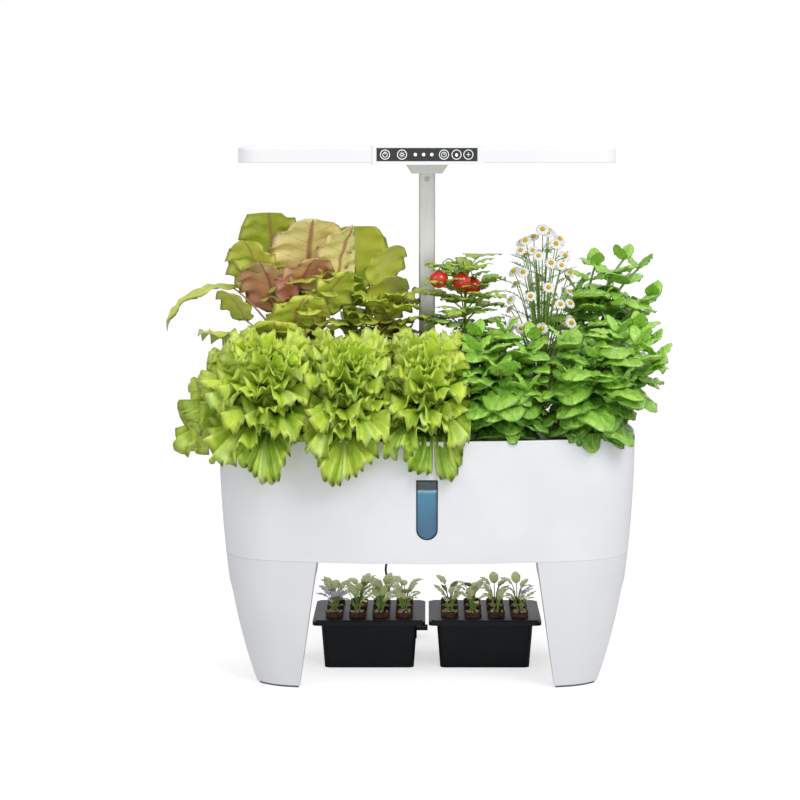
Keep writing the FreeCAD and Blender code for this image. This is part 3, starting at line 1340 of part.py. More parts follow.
def grow_oakleaf(plant):
    """Upright red oak-leaf lettuce."""
    plant.stalk(plant.crown(-1.0), 0, 0, 150.0, 7.0)
    plant.tier(62.0, 7, 0, (34.0, 36.0), (54.0, 34.0))
    plant.tier(100.0, 7, 25, (30.0, 40.0), (54.0, 50.0))
    plant.tier(132.0, 6, 0, (18.0, 50.0), (44.0, 84.0))


def grow_tomato(plant):
    """Cherry tomato: stem, tiers of leaves and three fruits towards the front."""
    plant.stalk(plant.crown(-1.0), 0, 0, 244.0, 3.4)
    for i, height in enumerate((110.0, 150.0, 196.0, 238.0)):
        plant.tier(height, 6, 30 * (i % 2), (26.0, 12.0), (52.0 - 4.0 * i, 2.0))
    for azimuth, lean, length in ((-146, 12.0, 222.0), (-104, 7.0, 216.0), (-20, 3.0, 206.0)):
        tip = plant.stalk(plant.crown(4.0), azimuth, lean, length, 1.6)
        plant.ball(tip, TOMATO_RADIUS)


def grow_chamomile(plant):
    """Thin stems that carry round flower heads over narrow leaves."""
    plant.stalk(plant.crown(-1.0), 0, 0, 74.0, 4.0)
    for i in range(CHAMOMILE_STEMS):
        azimuth = 360.0 * i / CHAMOMILE_STEMS
        lean = 5.0 + 9.0 * (i % 2)
        length = 200.0 + 18.0 * (i * 3 % CHAMOMILE_STEMS)
        tip = plant.stalk(plant.crown(60.0), azimuth, lean, length * CHAMOMILE_REACH, 1.4)
        plant.ball(tip, CHAMOMILE_RADIUS)
    plant.tier(40.0, 7, 0, (30.0, 50.0), (52.0, 60.0))


def grow_broadleaf(plant):
    """Broad yellow-green leaves beside the mast."""
    plant.stalk(plant.crown(-1.0), 0, 0, 50.0, 7.0)
    plant.tier(40.0, 6, 0, (30.0, 60.0), (56.0, 80.0))
    shoots = (
        (75, 10.0, 200.0, 70.0, 62.0, 16.0, 6.0),
        (112, 14.0, 170.0, 70.0, 48.0, 16.0, -8.0),
        (10, 8.0, 246.0, 46.0, 58.0, 24.0, 32.0),
        (120, 6.0, 256.0, 50.0, 54.0, 22.0, 24.0),
    )
    for azimuth, lean, length, leaf_length, width, middle, drop in shoots:
        tip = plant.stalk(plant.crown(10.0), azimuth, lean, length, 2.6)
        plant.leaf(tip, azimuth, leaf_length, width, middle, drop)


def row_cell(x, row, left=None, right=None):
    """Upright cell round a planting hole that its plant stays inside."""
    half = COLUMN_PITCH / 2 - CELL_GAP
    x0 = x - half if left is None else left
    x1 = x + half if right is None else right
    reach = ROW_PITCH / 2 - CELL_GAP
    if row == FRONT_ROW:
        return x0, x1, -OUTER_REACH, -ROW_PITCH / 2 - CELL_GAP
    if row == MIDDLE_ROW:
        return x0, x1, -reach, reach
    return x0, x1, ROW_PITCH / 2 + CELL_GAP, OUTER_REACH


FRONT_ROW = -ROW_PITCH
MIDDLE_ROW = 0.0
BACK_ROW = ROW_PITCH
HALF_PITCH = COLUMN_PITCH / 2
MAST_CLEAR = SOCKET_WIDTH / 2 + SOCKET_FLANGE + CELL_GAP
COVER_PLACE = (-2 * COLUMN_PITCH, BACK_ROW)
FILLER_PLACE = (COLUMN_PITCH, BACK_ROW)


def pod(name, x, row, grow, left=None, right=None):
    """One planted hole."""
    return Pod(name, x, row, grow, row_cell(x, row, left, right))


PODS = [
    pod("lettuce_left", -2 * COLUMN_PITCH, FRONT_ROW, grow_lettuce_left, left=-OUTER_REACH),
    pod("lettuce_middle", -COLUMN_PITCH, FRONT_ROW, grow_lettuce_middle),
    pod("lettuce_right", 0.0, FRONT_ROW, grow_lettuce_right),
    pod("basil_middle", COLUMN_PITCH, FRONT_ROW, grow_basil_middle),
    pod("basil_right", 2 * COLUMN_PITCH, FRONT_ROW, grow_basil_right, right=OUTER_REACH),
    pod("mustard", -3 * HALF_PITCH, MIDDLE_ROW, grow_mustard, left=-OUTER_REACH),
    pod("oakleaf", -HALF_PITCH, MIDDLE_ROW, grow_oakleaf),
    pod("tomato", HALF_PITCH, MIDDLE_ROW, grow_tomato),
    pod("chamomile", 3 * HALF_PITCH, MIDDLE_ROW, grow_chamomile, right=OUTER_REACH),
    pod("broadleaf", -COLUMN_PITCH, BACK_ROW, grow_broadleaf, right=-MAST_CLEAR),
    pod("basil_back", 2 * COLUMN_PITCH, BACK_ROW, grow_basil_back, right=OUTER_REACH),
]
HOLES = [(p.x, p.y) for p in PODS] + [COVER_PLACE, FILLER_PLACE]


def make_seedling(kind):
    """Young plant on a thin stem, at the origin in plan."""
    soil_z = TRAY_HEIGHT + POT_PROUD - POT_SOIL_DROP
    height = SEEDLING_HEIGHT * (1.0 - 0.18 * kind)
    seedling = Foliage(0.0, 0.0)
    top = seedling.stalk(V(0, 0, soil_z), 90 * kind, 4.0, height, SEEDLING_STEM_RADIUS)
    count = 2 + kind
    seedling.whorl(top, count, 40 * kind, SEEDLING_LEAF, SEEDLING_LEAF * 0.7, 4.0, 3.0)
    return seedling.pieces[0].multiFuse(seedling.pieces[1:])


def make_tray_plants(phase):
    """Twelve seedlings of three kinds for one tray, about X = 0."""
    kinds = [make_seedling(kind) for kind in range(3)]
    solids = []
    for i, (x, y) in enumerate(cell_places()):
        seedling = kinds[(i * 2 + i // CELL_COLUMNS + phase) % 3].copy()
        seedling.rotate(ORIGIN, Z_AXIS, 70.0 * i)
        seedling.translate(V(x, y, 0))
        solids += seedling.Solids
    return Part.makeCompound(solids)


def placed(shape, x):
    """Copy moved along X."""
    copy = shape.copy()
    copy.translate(V(x, 0, 0))
    return copy


def make_nodes():
    """All sub-parts by name."""
    leg_left = make_leg_frame_left()
    tray = make_tray()
    insert = make_cell_insert()
    pot = make_peat_pot()
    pots = Part.makeCompound([pot.translated(V(x, y, 0)) for x, y in cell_places()])
    nodes = {
        "tub_shell": make_tub_shell(),
        "window_gasket": make_window_gasket(),
        "window_lens": make_window_lens(),
        "water_column": make_water_column(),
        "leg_frame_left": leg_left,
        "leg_frame_right": mirrored(leg_left),
        "leg_screws": make_leg_screws(),
        "foot_pads": make_foot_pads(),
        "deck": make_deck(),
        "hole_cover": make_hole_cover(),
        "filler_cap": make_filler_cap(),
        "mast_socket": make_mast_socket(),
        "mast_outer_tube": make_mast_outer_tube(),
        "mast_inner_tube": make_mast_inner_tube(),
        "mast_lock_button": make_mast_lock_button(),
        "lamp_bracket": make_lamp_bracket(),
        "lamp_housing": make_lamp_housing(),
        "lamp_bottom_cover": make_lamp_bottom_cover(),
        "lamp_diffuser": make_lamp_diffuser(),
        "led_board": make_led_board(),
        "control_panel": make_control_panel(),
        "control_board": make_control_board(),
        "pump_body": make_pump_body(),
        "pump_impeller": make_pump_impeller(),
        "riser_hose": make_riser_hose(),
        "cord_gland": make_cord_gland(),
        "power_cord": make_power_cord(),
        "cord_coil": make_cord_coil(),
        "power_adapter": make_power_adapter(),
    }
    for phase, (side, x) in enumerate((("left", -TRAY_X), ("right", TRAY_X))):
        nodes["tray_" + side] = placed(tray, x)
        nodes["cell_insert_" + side] = placed(insert, x)
        nodes["peat_pots_" + side] = placed(pots, x)
        nodes["seedlings_" + side] = placed(make_tray_plants(phase), x)
    cup = make_net_cup()
    for p in PODS:
        nodes["net_cup_" + p.name] = cup.translated(V(p.x, p.y, 0))
        plant = Foliage(p.x, p.y, p.cell)
        p.grow(plant)
        nodes["plant_" + p.name] = plant.grown()
    return nodes


def export(nodes):
    """Write one file per sub-part and print what each holds."""
    os.makedirs("parts", exist_ok=True)
    for name, shape in nodes.items():
        shape.exportStep(os.path.join("parts", name + ".step"))
        sound = "sound" if shape.isValid() else "NOT VALID"
        volume = round(shape.Volume / 1000, 2)
        print(name, len(shape.Solids), "solid", volume, "cm3", len(shape.Faces), "faces", sound)


export(make_nodes())
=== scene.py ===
"""Blender scene of a countertop hydroponic garden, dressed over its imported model."""
from __future__ import annotations

import logging
import math
import random
from dataclasses import dataclass
from enum import IntEnum

import bpy
import numpy as np
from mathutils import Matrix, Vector

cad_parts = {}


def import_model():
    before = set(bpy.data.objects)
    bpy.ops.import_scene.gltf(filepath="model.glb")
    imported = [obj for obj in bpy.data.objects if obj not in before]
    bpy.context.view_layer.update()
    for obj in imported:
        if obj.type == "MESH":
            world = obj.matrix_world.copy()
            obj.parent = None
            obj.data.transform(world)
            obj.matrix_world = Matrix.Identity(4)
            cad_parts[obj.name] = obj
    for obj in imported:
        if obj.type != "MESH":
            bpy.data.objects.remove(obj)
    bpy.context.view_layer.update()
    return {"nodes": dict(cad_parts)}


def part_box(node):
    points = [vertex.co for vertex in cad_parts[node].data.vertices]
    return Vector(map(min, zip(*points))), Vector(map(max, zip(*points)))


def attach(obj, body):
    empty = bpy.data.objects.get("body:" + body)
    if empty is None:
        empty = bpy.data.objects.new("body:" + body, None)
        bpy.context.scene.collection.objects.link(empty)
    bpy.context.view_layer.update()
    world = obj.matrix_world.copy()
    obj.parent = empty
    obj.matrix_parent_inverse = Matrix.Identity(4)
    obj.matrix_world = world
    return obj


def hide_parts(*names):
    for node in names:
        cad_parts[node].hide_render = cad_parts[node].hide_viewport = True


LOG = logging.getLogger("garden")
Colour = tuple[float, float, float, float]
Triple = tuple[float, float, float]
COLOUR = "NodeSocketColor"
NUMBER = "NodeSocketFloat"
GOLDEN_ANGLE = math.pi * (3 - math.sqrt(5))
PHASES = (0, 6.28)
MIDDLE_TINT = 0.5
DECK_TOP = 0.354
RIM_HALF_X = 0.299
RIM_HALF_Y = 0.150
RIM_FRONT_RADIUS = 1.0
RIM_SIDE_RADIUS = 0.62


class Look(IntEnum):
    """Places of a plant's materials on its mesh."""

    LEAF = 0
    STEM = 1
    PEAT = 2
    EXTRA = 3


def paint(red: int, green: int, blue: int) -> Colour:
    """Turn a display colour into a linear one.

    Args:
        red: Red from 0 to 255.
        green: Green from 0 to 255.
        blue: Blue from 0 to 255.

    Returns:
        The linear colour with a full alpha.
    """
    shares = np.array([red, green, blue]) / 255
    linear = np.where(shares <= 0.04045, shares / 12.92, ((shares + 0.055) / 1.055) ** 2.4)
    return (float(linear[0]), float(linear[1]), float(linear[2]), 1.0)


class Wiring:
    """Adds and joins the nodes of one node tree."""

    def __init__(self, tree: bpy.types.NodeTree) -> None:
        """Keep the tree that is wired."""
        self.tree = tree

    def add(self, kind: str, **settings: object) -> bpy.types.Node:
        """Add a node.

        Args:
            kind: The node's type name.
            **settings: Properties to set on it.

        Returns:
            The new node.
        """
        node = self.tree.nodes.new(kind)
        for name, value in settings.items():
            setattr(node, name, value)
        return node

    def feed(self, target: bpy.types.NodeSocket, value: object) -> None:
        """Join a socket to the target, or set the target's plain value."""
        if isinstance(value, bpy.types.NodeSocket):
            self.tree.links.new(value, target)
        else:
            target.default_value = value

    def sum(self, operation: str, first: object, second: object = 0.0) -> bpy.types.NodeSocket:
        """Add a Math node.

        Args:
            operation: The Math node's operation.
            first: First value or socket.
            second: Second value or socket.

        Returns:
            The result's socket.
        """
        node = self.add("ShaderNodeMath", operation=operation)
        self.feed(node.inputs[0], first)
        self.feed(node.inputs[1], second)
        return node.outputs[0]

    def blend(self, share: object, first: object, second: object) -> bpy.types.NodeSocket:
        """Mix two colours.

        Args:
            share: Share of the second colour.
            first: First colour or socket.
            second: Second colour or socket.

        Returns:
            The mixed colour's socket.
        """
        node = self.add("ShaderNodeMix", data_type="RGBA")
        self.feed(node.inputs[0], share)
        self.feed(node.inputs[6], first)
        self.feed(node.inputs[7], second)
        return node.outputs[2]

    def ramp(self, value: object, low: object, high: object) -> bpy.types.NodeSocket:
        """Rise smoothly from 0 to 1.

        Args:
            value: The value that is read.
            low: The value where the rise starts.
            high: The value where it ends.

        Returns:
            The risen value's socket.
        """
        node = self.add("ShaderNodeMapRange", interpolation_type="SMOOTHSTEP")
        self.feed(node.inputs[0], value)
        self.feed(node.inputs[1], low)
        self.feed(node.inputs[2], high)
        return node.outputs[0]

    def noise(self, place: object, scale: object, detail: float = 2.0) -> bpy.types.NodeSocket:
        """Add a noise of one value.

        Args:
            place: The coordinate's socket.
            scale: The noise's scale.
            detail: The noise's detail.

        Returns:
            The noise's socket.
        """
        node = self.add("ShaderNodeTexNoise")
        self.feed(node.inputs["Vector"], place)
        self.feed(node.inputs["Scale"], scale)
        node.inputs["Detail"].default_value = detail
        return node.outputs[0]

    def feed_all(self, node: bpy.types.Node, values: dict[str, object]) -> None:
        """Feed a node's inputs.

        Args:
            node: The node.
            values: Values or sockets by the inputs' names.
        """
        for title, value in values.items():
            self.feed(node.inputs[title], value)

    def bump(self, height: object, strength: float, distance: float) -> bpy.types.NodeSocket:
        """Add a bump.

        Args:
            height: The height's socket.
            strength: The bump's strength.
            distance: The bump's height in metres.

        Returns:
            The normal's socket.
        """
        node = self.add("ShaderNodeBump")
        self.feed_all(node, {"Strength": strength, "Distance": distance, "Height": height})
        return node.outputs[0]


def start_tree(name: str, kind: str, takes: dict[str, str],
               gives: dict[str, str]) -> tuple[Wiring, object, object]:
    """Start a node tree.

    Args:
        name: The tree's name.
        kind: The tree's type name.
        takes: Input names and their socket types.
        gives: Output names and their socket types.

    Returns:
        The tree's wiring, its inputs and its outputs.
    """
    tree = bpy.data.node_groups.new(name, kind)
    for way, sockets in (("INPUT", takes), ("OUTPUT", gives)):
        for title, sort in sockets.items():
            tree.interface.new_socket(title, in_out=way, socket_type=sort)
    wiring = Wiring(tree)
    entry = wiring.add("NodeGroupInput")
    leave = wiring.add("NodeGroupOutput")
    return wiring, entry.outputs, leave.inputs


def grain_group() -> bpy.types.NodeTree:
    """Return the group that varies a surface's colour, roughness and height."""
    found = bpy.data.node_groups.get("Surface Grain")
    if found:
        return found
    takes = dict.fromkeys(("Dark", "Light"), COLOUR)
    takes |= dict.fromkeys(("Smooth", "Rough", "Grain", "Patch"), NUMBER)
    takes["Stretch"] = "NodeSocketVector"
    gives = {"Colour": COLOUR, "Roughness": NUMBER, "Height": NUMBER}
    wiring, entry, leave = start_tree("Surface Grain", "ShaderNodeTree", takes, gives)
    place = wiring.add("ShaderNodeTexCoord").outputs["Object"]
    stretched = wiring.add("ShaderNodeVectorMath", operation="MULTIPLY")
    wiring.feed(stretched.inputs[0], place)
    wiring.feed(stretched.inputs[1], entry["Stretch"])
    patches = wiring.ramp(wiring.noise(place, entry["Patch"], 3.0), 0.3, 0.7)
    grain = wiring.noise(stretched.outputs[0], entry["Grain"], 4.0)
    share = wiring.sum("ADD", wiring.sum("MULTIPLY", patches, 0.6), wiring.sum("MULTIPLY", grain, 0.4))
    wiring.feed(leave["Colour"], wiring.blend(share, entry["Dark"], entry["Light"]))
    spread = wiring.sum("SUBTRACT", entry["Rough"], entry["Smooth"])
    wiring.feed(leave["Roughness"], wiring.sum("ADD", entry["Smooth"], wiring.sum("MULTIPLY", spread, share)))
    wiring.feed(leave["Height"], grain)
    return wiring.tree


def leaf_group() -> bpy.types.NodeTree:
    """Return the group that colours a leaf and raises the cells between its veins."""
    found = bpy.data.node_groups.get("Leaf Veins")
    if found:
        return found
    takes = dict.fromkeys(("Dark", "Light", "Vein", "Margin"), COLOUR)
    takes |= dict.fromkeys(("Count", "Lean", "Width"), NUMBER)
    gives = {"Colour": COLOUR, "Height": NUMBER}
    wiring, entry, leave = start_tree("Leaf Veins", "ShaderNodeTree", takes, gives)
    coordinate = wiring.add("ShaderNodeTexCoord")
    split = wiring.add("ShaderNodeSeparateXYZ")
    wiring.feed(split.inputs[0], coordinate.outputs["UV"])
    centred = wiring.sum("SUBTRACT", split.outputs[0], 0.5)
    beside = wiring.sum("MULTIPLY", wiring.sum("ABSOLUTE", centred), 2.0)
    bent = wiring.sum("MULTIPLY", beside, entry["Lean"])
    order = wiring.sum("SUBTRACT", wiring.sum("MULTIPLY", split.outputs[1], entry["Count"]), bent)
    wave = wiring.sum("PINGPONG", order, 0.5)
    side_vein = wiring.sum("SUBTRACT", 1.0, wiring.ramp(wave, 0.0, entry["Width"]))
    middle = wiring.sum("SUBTRACT", 1.0, wiring.ramp(beside, 0.02, 0.10))
    fading = wiring.sum("SUBTRACT", 0.75, wiring.sum("MULTIPLY", beside, 0.45))
    veins = wiring.sum("MAXIMUM", wiring.sum("MULTIPLY", side_vein, fading), middle)
    blotch = wiring.noise(coordinate.outputs["Object"], 55.0, 4.0)
    tint = wiring.add("ShaderNodeAttribute", attribute_name="tint").outputs["Fac"]
    swing = wiring.sum("MULTIPLY", wiring.sum("SUBTRACT", blotch, 0.5), 0.9)
    body = wiring.blend(wiring.ramp(wiring.sum("ADD", tint, swing), 0.0, 1.0), entry["Dark"], entry["Light"])
    veined = wiring.blend(wiring.sum("MULTIPLY", veins, 0.7), body, entry["Vein"])
    edge = wiring.ramp(beside, 0.82, 1.0)
    wiring.feed(leave["Colour"], wiring.blend(wiring.sum("MULTIPLY", edge, 0.7), veined, entry["Margin"]))
    fine = wiring.noise(coordinate.outputs["Object"], 420.0, 3.0)
    wiring.feed(leave["Height"], wiring.sum("SUBTRACT", wiring.sum("MULTIPLY", fine, 0.5), veins))
    return wiring.tree


def start_material(name: str) -> tuple[bpy.types.Material, Wiring, bpy.types.Node]:
    """Start a material.

    Args:
        name: The material's name.

    Returns:
        The material, its wiring and its shader.
    """
    material = bpy.data.materials.new(name)
    material.use_nodes = True
    return material, Wiring(material.node_tree), material.node_tree.nodes["Principled BSDF"]


@dataclass(frozen=True)
class Finish:
    """A moulded, painted, brushed or printed surface."""

    name: str
    dark: Colour
    light: Colour
    roughness: tuple[float, float] = (0.30, 0.40)
    metallic: float = 0.0
    coat: float = 0.0
    transmission: float = 0.0
    glow: float = 0.0
    grain: float = 900.0
    patch: float = 9.0
    bump: float = 0.03
    specular: float = 0.5
    stretch: Triple = (1.0, 1.0, 1.0)
    bump_height: float = 0.001

    def material(self) -> bpy.types.Material:
        """Return the finish's material, made at its first use."""
        found = bpy.data.materials.get(self.name)
        if found:
            return found
        material, wiring, shader = start_material(self.name)
        group = wiring.add("ShaderNodeGroup", node_tree=grain_group())
        settings = {"Dark": self.dark, "Light": self.light, "Smooth": self.roughness[0],
                    "Rough": self.roughness[1], "Grain": self.grain, "Patch": self.patch,
                    "Stretch": self.stretch}
        wiring.feed_all(group, settings)
        normal = wiring.bump(group.outputs["Height"], self.bump, self.bump_height)
        wiring.feed_all(shader, {"Base Color": group.outputs["Colour"],
                                 "Roughness": group.outputs["Roughness"], "Normal": normal,
                                 "Metallic": self.metallic, "Coat Weight": self.coat,
                                 "Transmission Weight": self.transmission,
                                 "Specular IOR Level": self.specular})
        if self.glow:
            wiring.feed_all(shader, {"Emission Color": group.outputs["Colour"],
                                     "Emission Strength": self.glow})
        return material


@dataclass(frozen=True)
class LeafFinish:
    """The skin of a leaf with a midrib, side veins and a coloured margin."""

    name: str
    dark: Colour
    light: Colour
    vein: Colour
    margin: Colour
    count: float = 7.0
    lean: float = 1.6
    width: float = 0.10
    roughness: float = 0.42
    coat: float = 0.12
    bump: float = 0.5
    bump_height: float = 0.0015

    def material(self) -> bpy.types.Material:
        """Return the leaf's material, made at its first use."""
        found = bpy.data.materials.get(self.name)
        if found:
            return found
        material, wiring, shader = start_material(self.name)
        group = wiring.add("ShaderNodeGroup", node_tree=leaf_group())
        settings = {"Dark": self.dark, "Light": self.light, "Vein": self.vein, "Margin": self.margin,
                    "Count": self.count, "Lean": self.lean, "Width": self.width}
        wiring.feed_all(group, settings)
        normal = wiring.bump(group.outputs["Height"], self.bump, self.bump_height)
        wiring.feed_all(shader, {"Base Color": group.outputs["Colour"], "Normal": normal,
                                 "Roughness": self.roughness, "Coat Weight": self.coat})
        return material


@dataclass(frozen=True)
class WaterFinish:
    """Blue water with pale ripples along its surface line."""

    name: str = "Blue water"
    upper: Colour = paint(36, 132, 164)
    deep: Colour = paint(0, 92, 130)
    ripple: Colour = paint(206, 226, 232)
    line: float = 0.292
    bottom: float = 0.235
    glow: float = 0.5

    def material(self) -> bpy.types.Material:
        """Return the water's material."""
        material, wiring, shader = start_material(self.name)
        place = wiring.add("ShaderNodeTexCoord").outputs["Object"]
        split = wiring.add("ShaderNodeSeparateXYZ")
        wiring.feed(split.inputs[0], place)
        swell = wiring.sum("MULTIPLY", wiring.noise(place, 45.0, 3.0), 0.016)
        height = wiring.sum("ADD", split.outputs[2], wiring.sum("SUBTRACT", swell, 0.008))
        depth = wiring.blend(wiring.ramp(height, self.bottom, self.line), self.deep, self.upper)
        froth = wiring.blend(wiring.ramp(height, self.line - 0.003, self.line + 0.004), depth, self.ripple)
        wiring.feed_all(shader, {"Base Color": froth, "Emission Color": froth, "Emission Strength": self.glow,
                                 "Roughness": 0.5, "Specular IOR Level": 0.1})
        return material


@dataclass(frozen=True)
class TableFinish:
    """A white table that looks as bright as its surroundings and keeps its shadows."""

    name: str = "White table"
    dark: Colour = (0.60, 0.60, 0.61, 1.0)
    light: Colour = (0.63, 0.63, 0.64, 1.0)
    seen_glow: float = 0.60

    def material(self) -> bpy.types.Material:
        """Return the table's material."""
        material, wiring, shader = start_material(self.name)
        place = wiring.add("ShaderNodeTexCoord").outputs["Object"]
        colour = wiring.blend(wiring.noise(place, 3.0), self.dark, self.light)
        seen = wiring.add("ShaderNodeLightPath").outputs["Is Camera Ray"]
        glow = wiring.sum("MULTIPLY", seen, self.seen_glow)
        wiring.feed_all(shader, {"Base Color": colour, "Emission Strength": glow,
                                 "Emission Color": (1.0, 1.0, 1.0, 1.0), "Roughness": 0.8,
                                 "Specular IOR Level": 0.1})
        return material


WHITE = Finish("White plastic", paint(236, 238, 242), paint(247, 248, 252), (0.26, 0.36), coat=0.2, bump=0.02)
LAMP_WHITE = Finish("Lamp white", paint(246, 247, 250), paint(252, 252, 254), (0.30, 0.38), bump=0.02)
LEG_WHITE = Finish("Leg white", paint(232, 234, 236), paint(240, 241, 244), (0.30, 0.42), bump=0.02)
DECK_WHITE = Finish("Deck plastic", paint(222, 225, 226), paint(238, 240, 242), (0.40, 0.52))
SILVER = Finish("Silver mast", paint(196, 197, 194), paint(232, 233, 230), (0.30, 0.42), 0.55, grain=260.0,
                stretch=(1.0, 1.0, 0.03), bump=0.05)
STEEL = Finish("Screw steel", paint(150, 152, 154), paint(196, 198, 200), (0.22, 0.34), 1.0, grain=500.0)
RUBBER = Finish("Black rubber", paint(10, 11, 13), paint(22, 23, 26), (0.55, 0.75), bump=0.12)
GREY_RUBBER = Finish("Grey rubber", paint(92, 94, 97), paint(118, 120, 123), (0.6, 0.8), bump=0.12)
GLASS = Finish("Clear window", paint(214, 238, 246), paint(236, 248, 252), (0.02, 0.05), transmission=0.95,
               bump=0.004)
HOSE = Finish("Clear hose", paint(214, 226, 228), paint(236, 242, 244), (0.12, 0.2), transmission=0.6)
FROST = Finish("Frosted diffuser", paint(238, 240, 244), paint(252, 252, 255), (0.45, 0.6), transmission=0.25,
               bump=0.1)
LED_BOARD = Finish("Lamp board", paint(196, 198, 196), paint(222, 224, 222), (0.34, 0.46), 0.6)
PANEL = Finish("Panel black", paint(7, 8, 10), paint(15, 16, 19), (0.08, 0.14), coat=0.6, bump=0.004)
CIRCUIT = Finish("Circuit green", paint(14, 78, 44), paint(30, 110, 60), (0.34, 0.5), patch=60.0)
PUMP = Finish("Pump black", paint(16, 17, 19), paint(34, 35, 38), (0.42, 0.58), bump=0.08)
CORD_BLACK = Finish("Cord black", paint(12, 12, 14), paint(26, 26, 29), (0.42, 0.56), bump=0.08)
ADAPTER = Finish("Adapter black", paint(14, 14, 16), paint(28, 28, 31), (0.38, 0.55), bump=0.10, grain=1400.0)
TRAY = Finish("Tray black", paint(4, 8, 11), paint(14, 20, 25), (0.34, 0.48), specular=0.25)
# Black plastic; its lighter purple patches are a painted purple sheen, light reflected on the insert.
INSERT_BLACK_AND_SHEEN = Finish("Insert black", paint(10, 9, 18), paint(36, 26, 58), (0.36, 0.5), specular=0.3)
CUP = Finish("Cup plastic", paint(218, 222, 222), paint(238, 241, 242), (0.42, 0.55))
PEAT = Finish("Peat brown", paint(46, 28, 16), paint(106, 72, 44), (0.85, 0.98), grain=240.0, patch=120.0,
              bump=0.9)
PEBBLE = Finish("Pale pebbles", paint(150, 128, 102), paint(222, 208, 186), (0.7, 0.9), grain=300.0,
                patch=220.0, bump=0.4)
ICON = Finish("Icon white", paint(226, 232, 236), paint(246, 250, 252), (0.3, 0.4), glow=0.5)
STEM_GREEN = Finish("Green stem", paint(98, 138, 44), paint(158, 190, 88), (0.4, 0.55), grain=300.0,
                    patch=60.0, bump=0.2, stretch=(1.0, 1.0, 0.2))
STEM_PINK = Finish("Pink stem", paint(186, 120, 110), paint(222, 186, 140), (0.38, 0.52), grain=300.0,
                   patch=40.0, bump=0.2)
TOMATO_RED = Finish("Ripe tomato", paint(196, 22, 10), paint(234, 50, 22), (0.10, 0.18), coat=0.6, grain=60.0,
                    patch=30.0, bump=0.02)
PETAL = Finish("Petal white", paint(236, 238, 236), paint(252, 252, 250), (0.5, 0.65), grain=500.0, bump=0.2)
DOME = Finish("Flower yellow", paint(218, 160, 10), paint(250, 214, 30), (0.7, 0.85), grain=1500.0,
              patch=300.0, bump=1.0)

LETTUCE = LeafFinish("Lettuce", paint(112, 160, 30), paint(226, 246, 96), paint(216, 240, 140),
                     paint(228, 248, 104), count=0.0, lean=9.0, width=0.16, bump=0.35)
# Basil's light colour is a painted highlight; the leaves with high tints, at the branch tips, take most of
# it.
BASIL = LeafFinish("Basil", paint(50, 120, 16), paint(178, 230, 92), paint(168, 214, 100),
                   paint(128, 188, 56), roughness=0.30, coat=0.35, bump=0.7)
MUSTARD_CREAM = LeafFinish("Mustard cream", paint(214, 142, 122), paint(252, 242, 164), paint(160, 84, 92),
                           paint(206, 158, 116), count=7.0, width=0.05, bump=0.4)
MUSTARD_GREEN = LeafFinish("Mustard green", paint(116, 156, 36), paint(216, 226, 92), paint(190, 140, 110),
                           paint(184, 172, 80), count=7.0, width=0.06, bump=0.4)
OAKLEAF = LeafFinish("Oakleaf", paint(84, 56, 32), paint(200, 218, 76), paint(150, 130, 70),
                     paint(122, 66, 44), count=6.0)
TOMATO_LEAF = LeafFinish("Tomato leaf", paint(60, 112, 28), paint(186, 214, 84), paint(160, 196, 86),
                         paint(96, 146, 44), bump=0.6)
FEATHER = LeafFinish("Chamomile leaf", paint(70, 122, 40), paint(160, 198, 92), paint(150, 190, 96),
                     paint(110, 160, 60))
BROADLEAF = LeafFinish("Broadleaf", paint(132, 172, 34), paint(238, 242, 108), paint(238, 242, 160),
                       paint(206, 222, 78), count=8.0, width=0.06, bump=0.4)
SEEDLING = LeafFinish("Seedling", paint(176, 214, 84), paint(248, 254, 190), paint(244, 252, 200),
                      paint(220, 240, 140), bump=0.25)
LAVENDER = LeafFinish("Pale seedling", paint(186, 160, 206), paint(246, 238, 250), paint(244, 238, 248),
                      paint(206, 190, 222), bump=0.25)

NODE_FINISHES = {
    "tub_shell": WHITE, "window_gasket": RUBBER, "window_lens": GLASS, "leg_frame": LEG_WHITE,
    "leg_screws": STEEL, "foot_pads": GREY_RUBBER, "pump_body": PUMP, "riser_hose": HOSE,
    "cord_gland": RUBBER, "power_adapter": ADAPTER, "deck": DECK_WHITE, "mast_socket": WHITE,
    "mast_outer_tube": SILVER, "mast_inner_tube": SILVER, "lamp_bracket": LAMP_WHITE,
    "lamp_housing": LAMP_WHITE, "lamp_bottom_cover": LAMP_WHITE, "lamp_diffuser": FROST,
    "led_board": LED_BOARD, "control_panel": PANEL, "control_board": CIRCUIT,
    "hole_cover": DECK_WHITE, "filler_cap": DECK_WHITE, "tray": TRAY, "cell_insert": INSERT_BLACK_AND_SHEEN,
    "peat_pots": PEAT, "net_cup": CUP, "water_column": None,
}


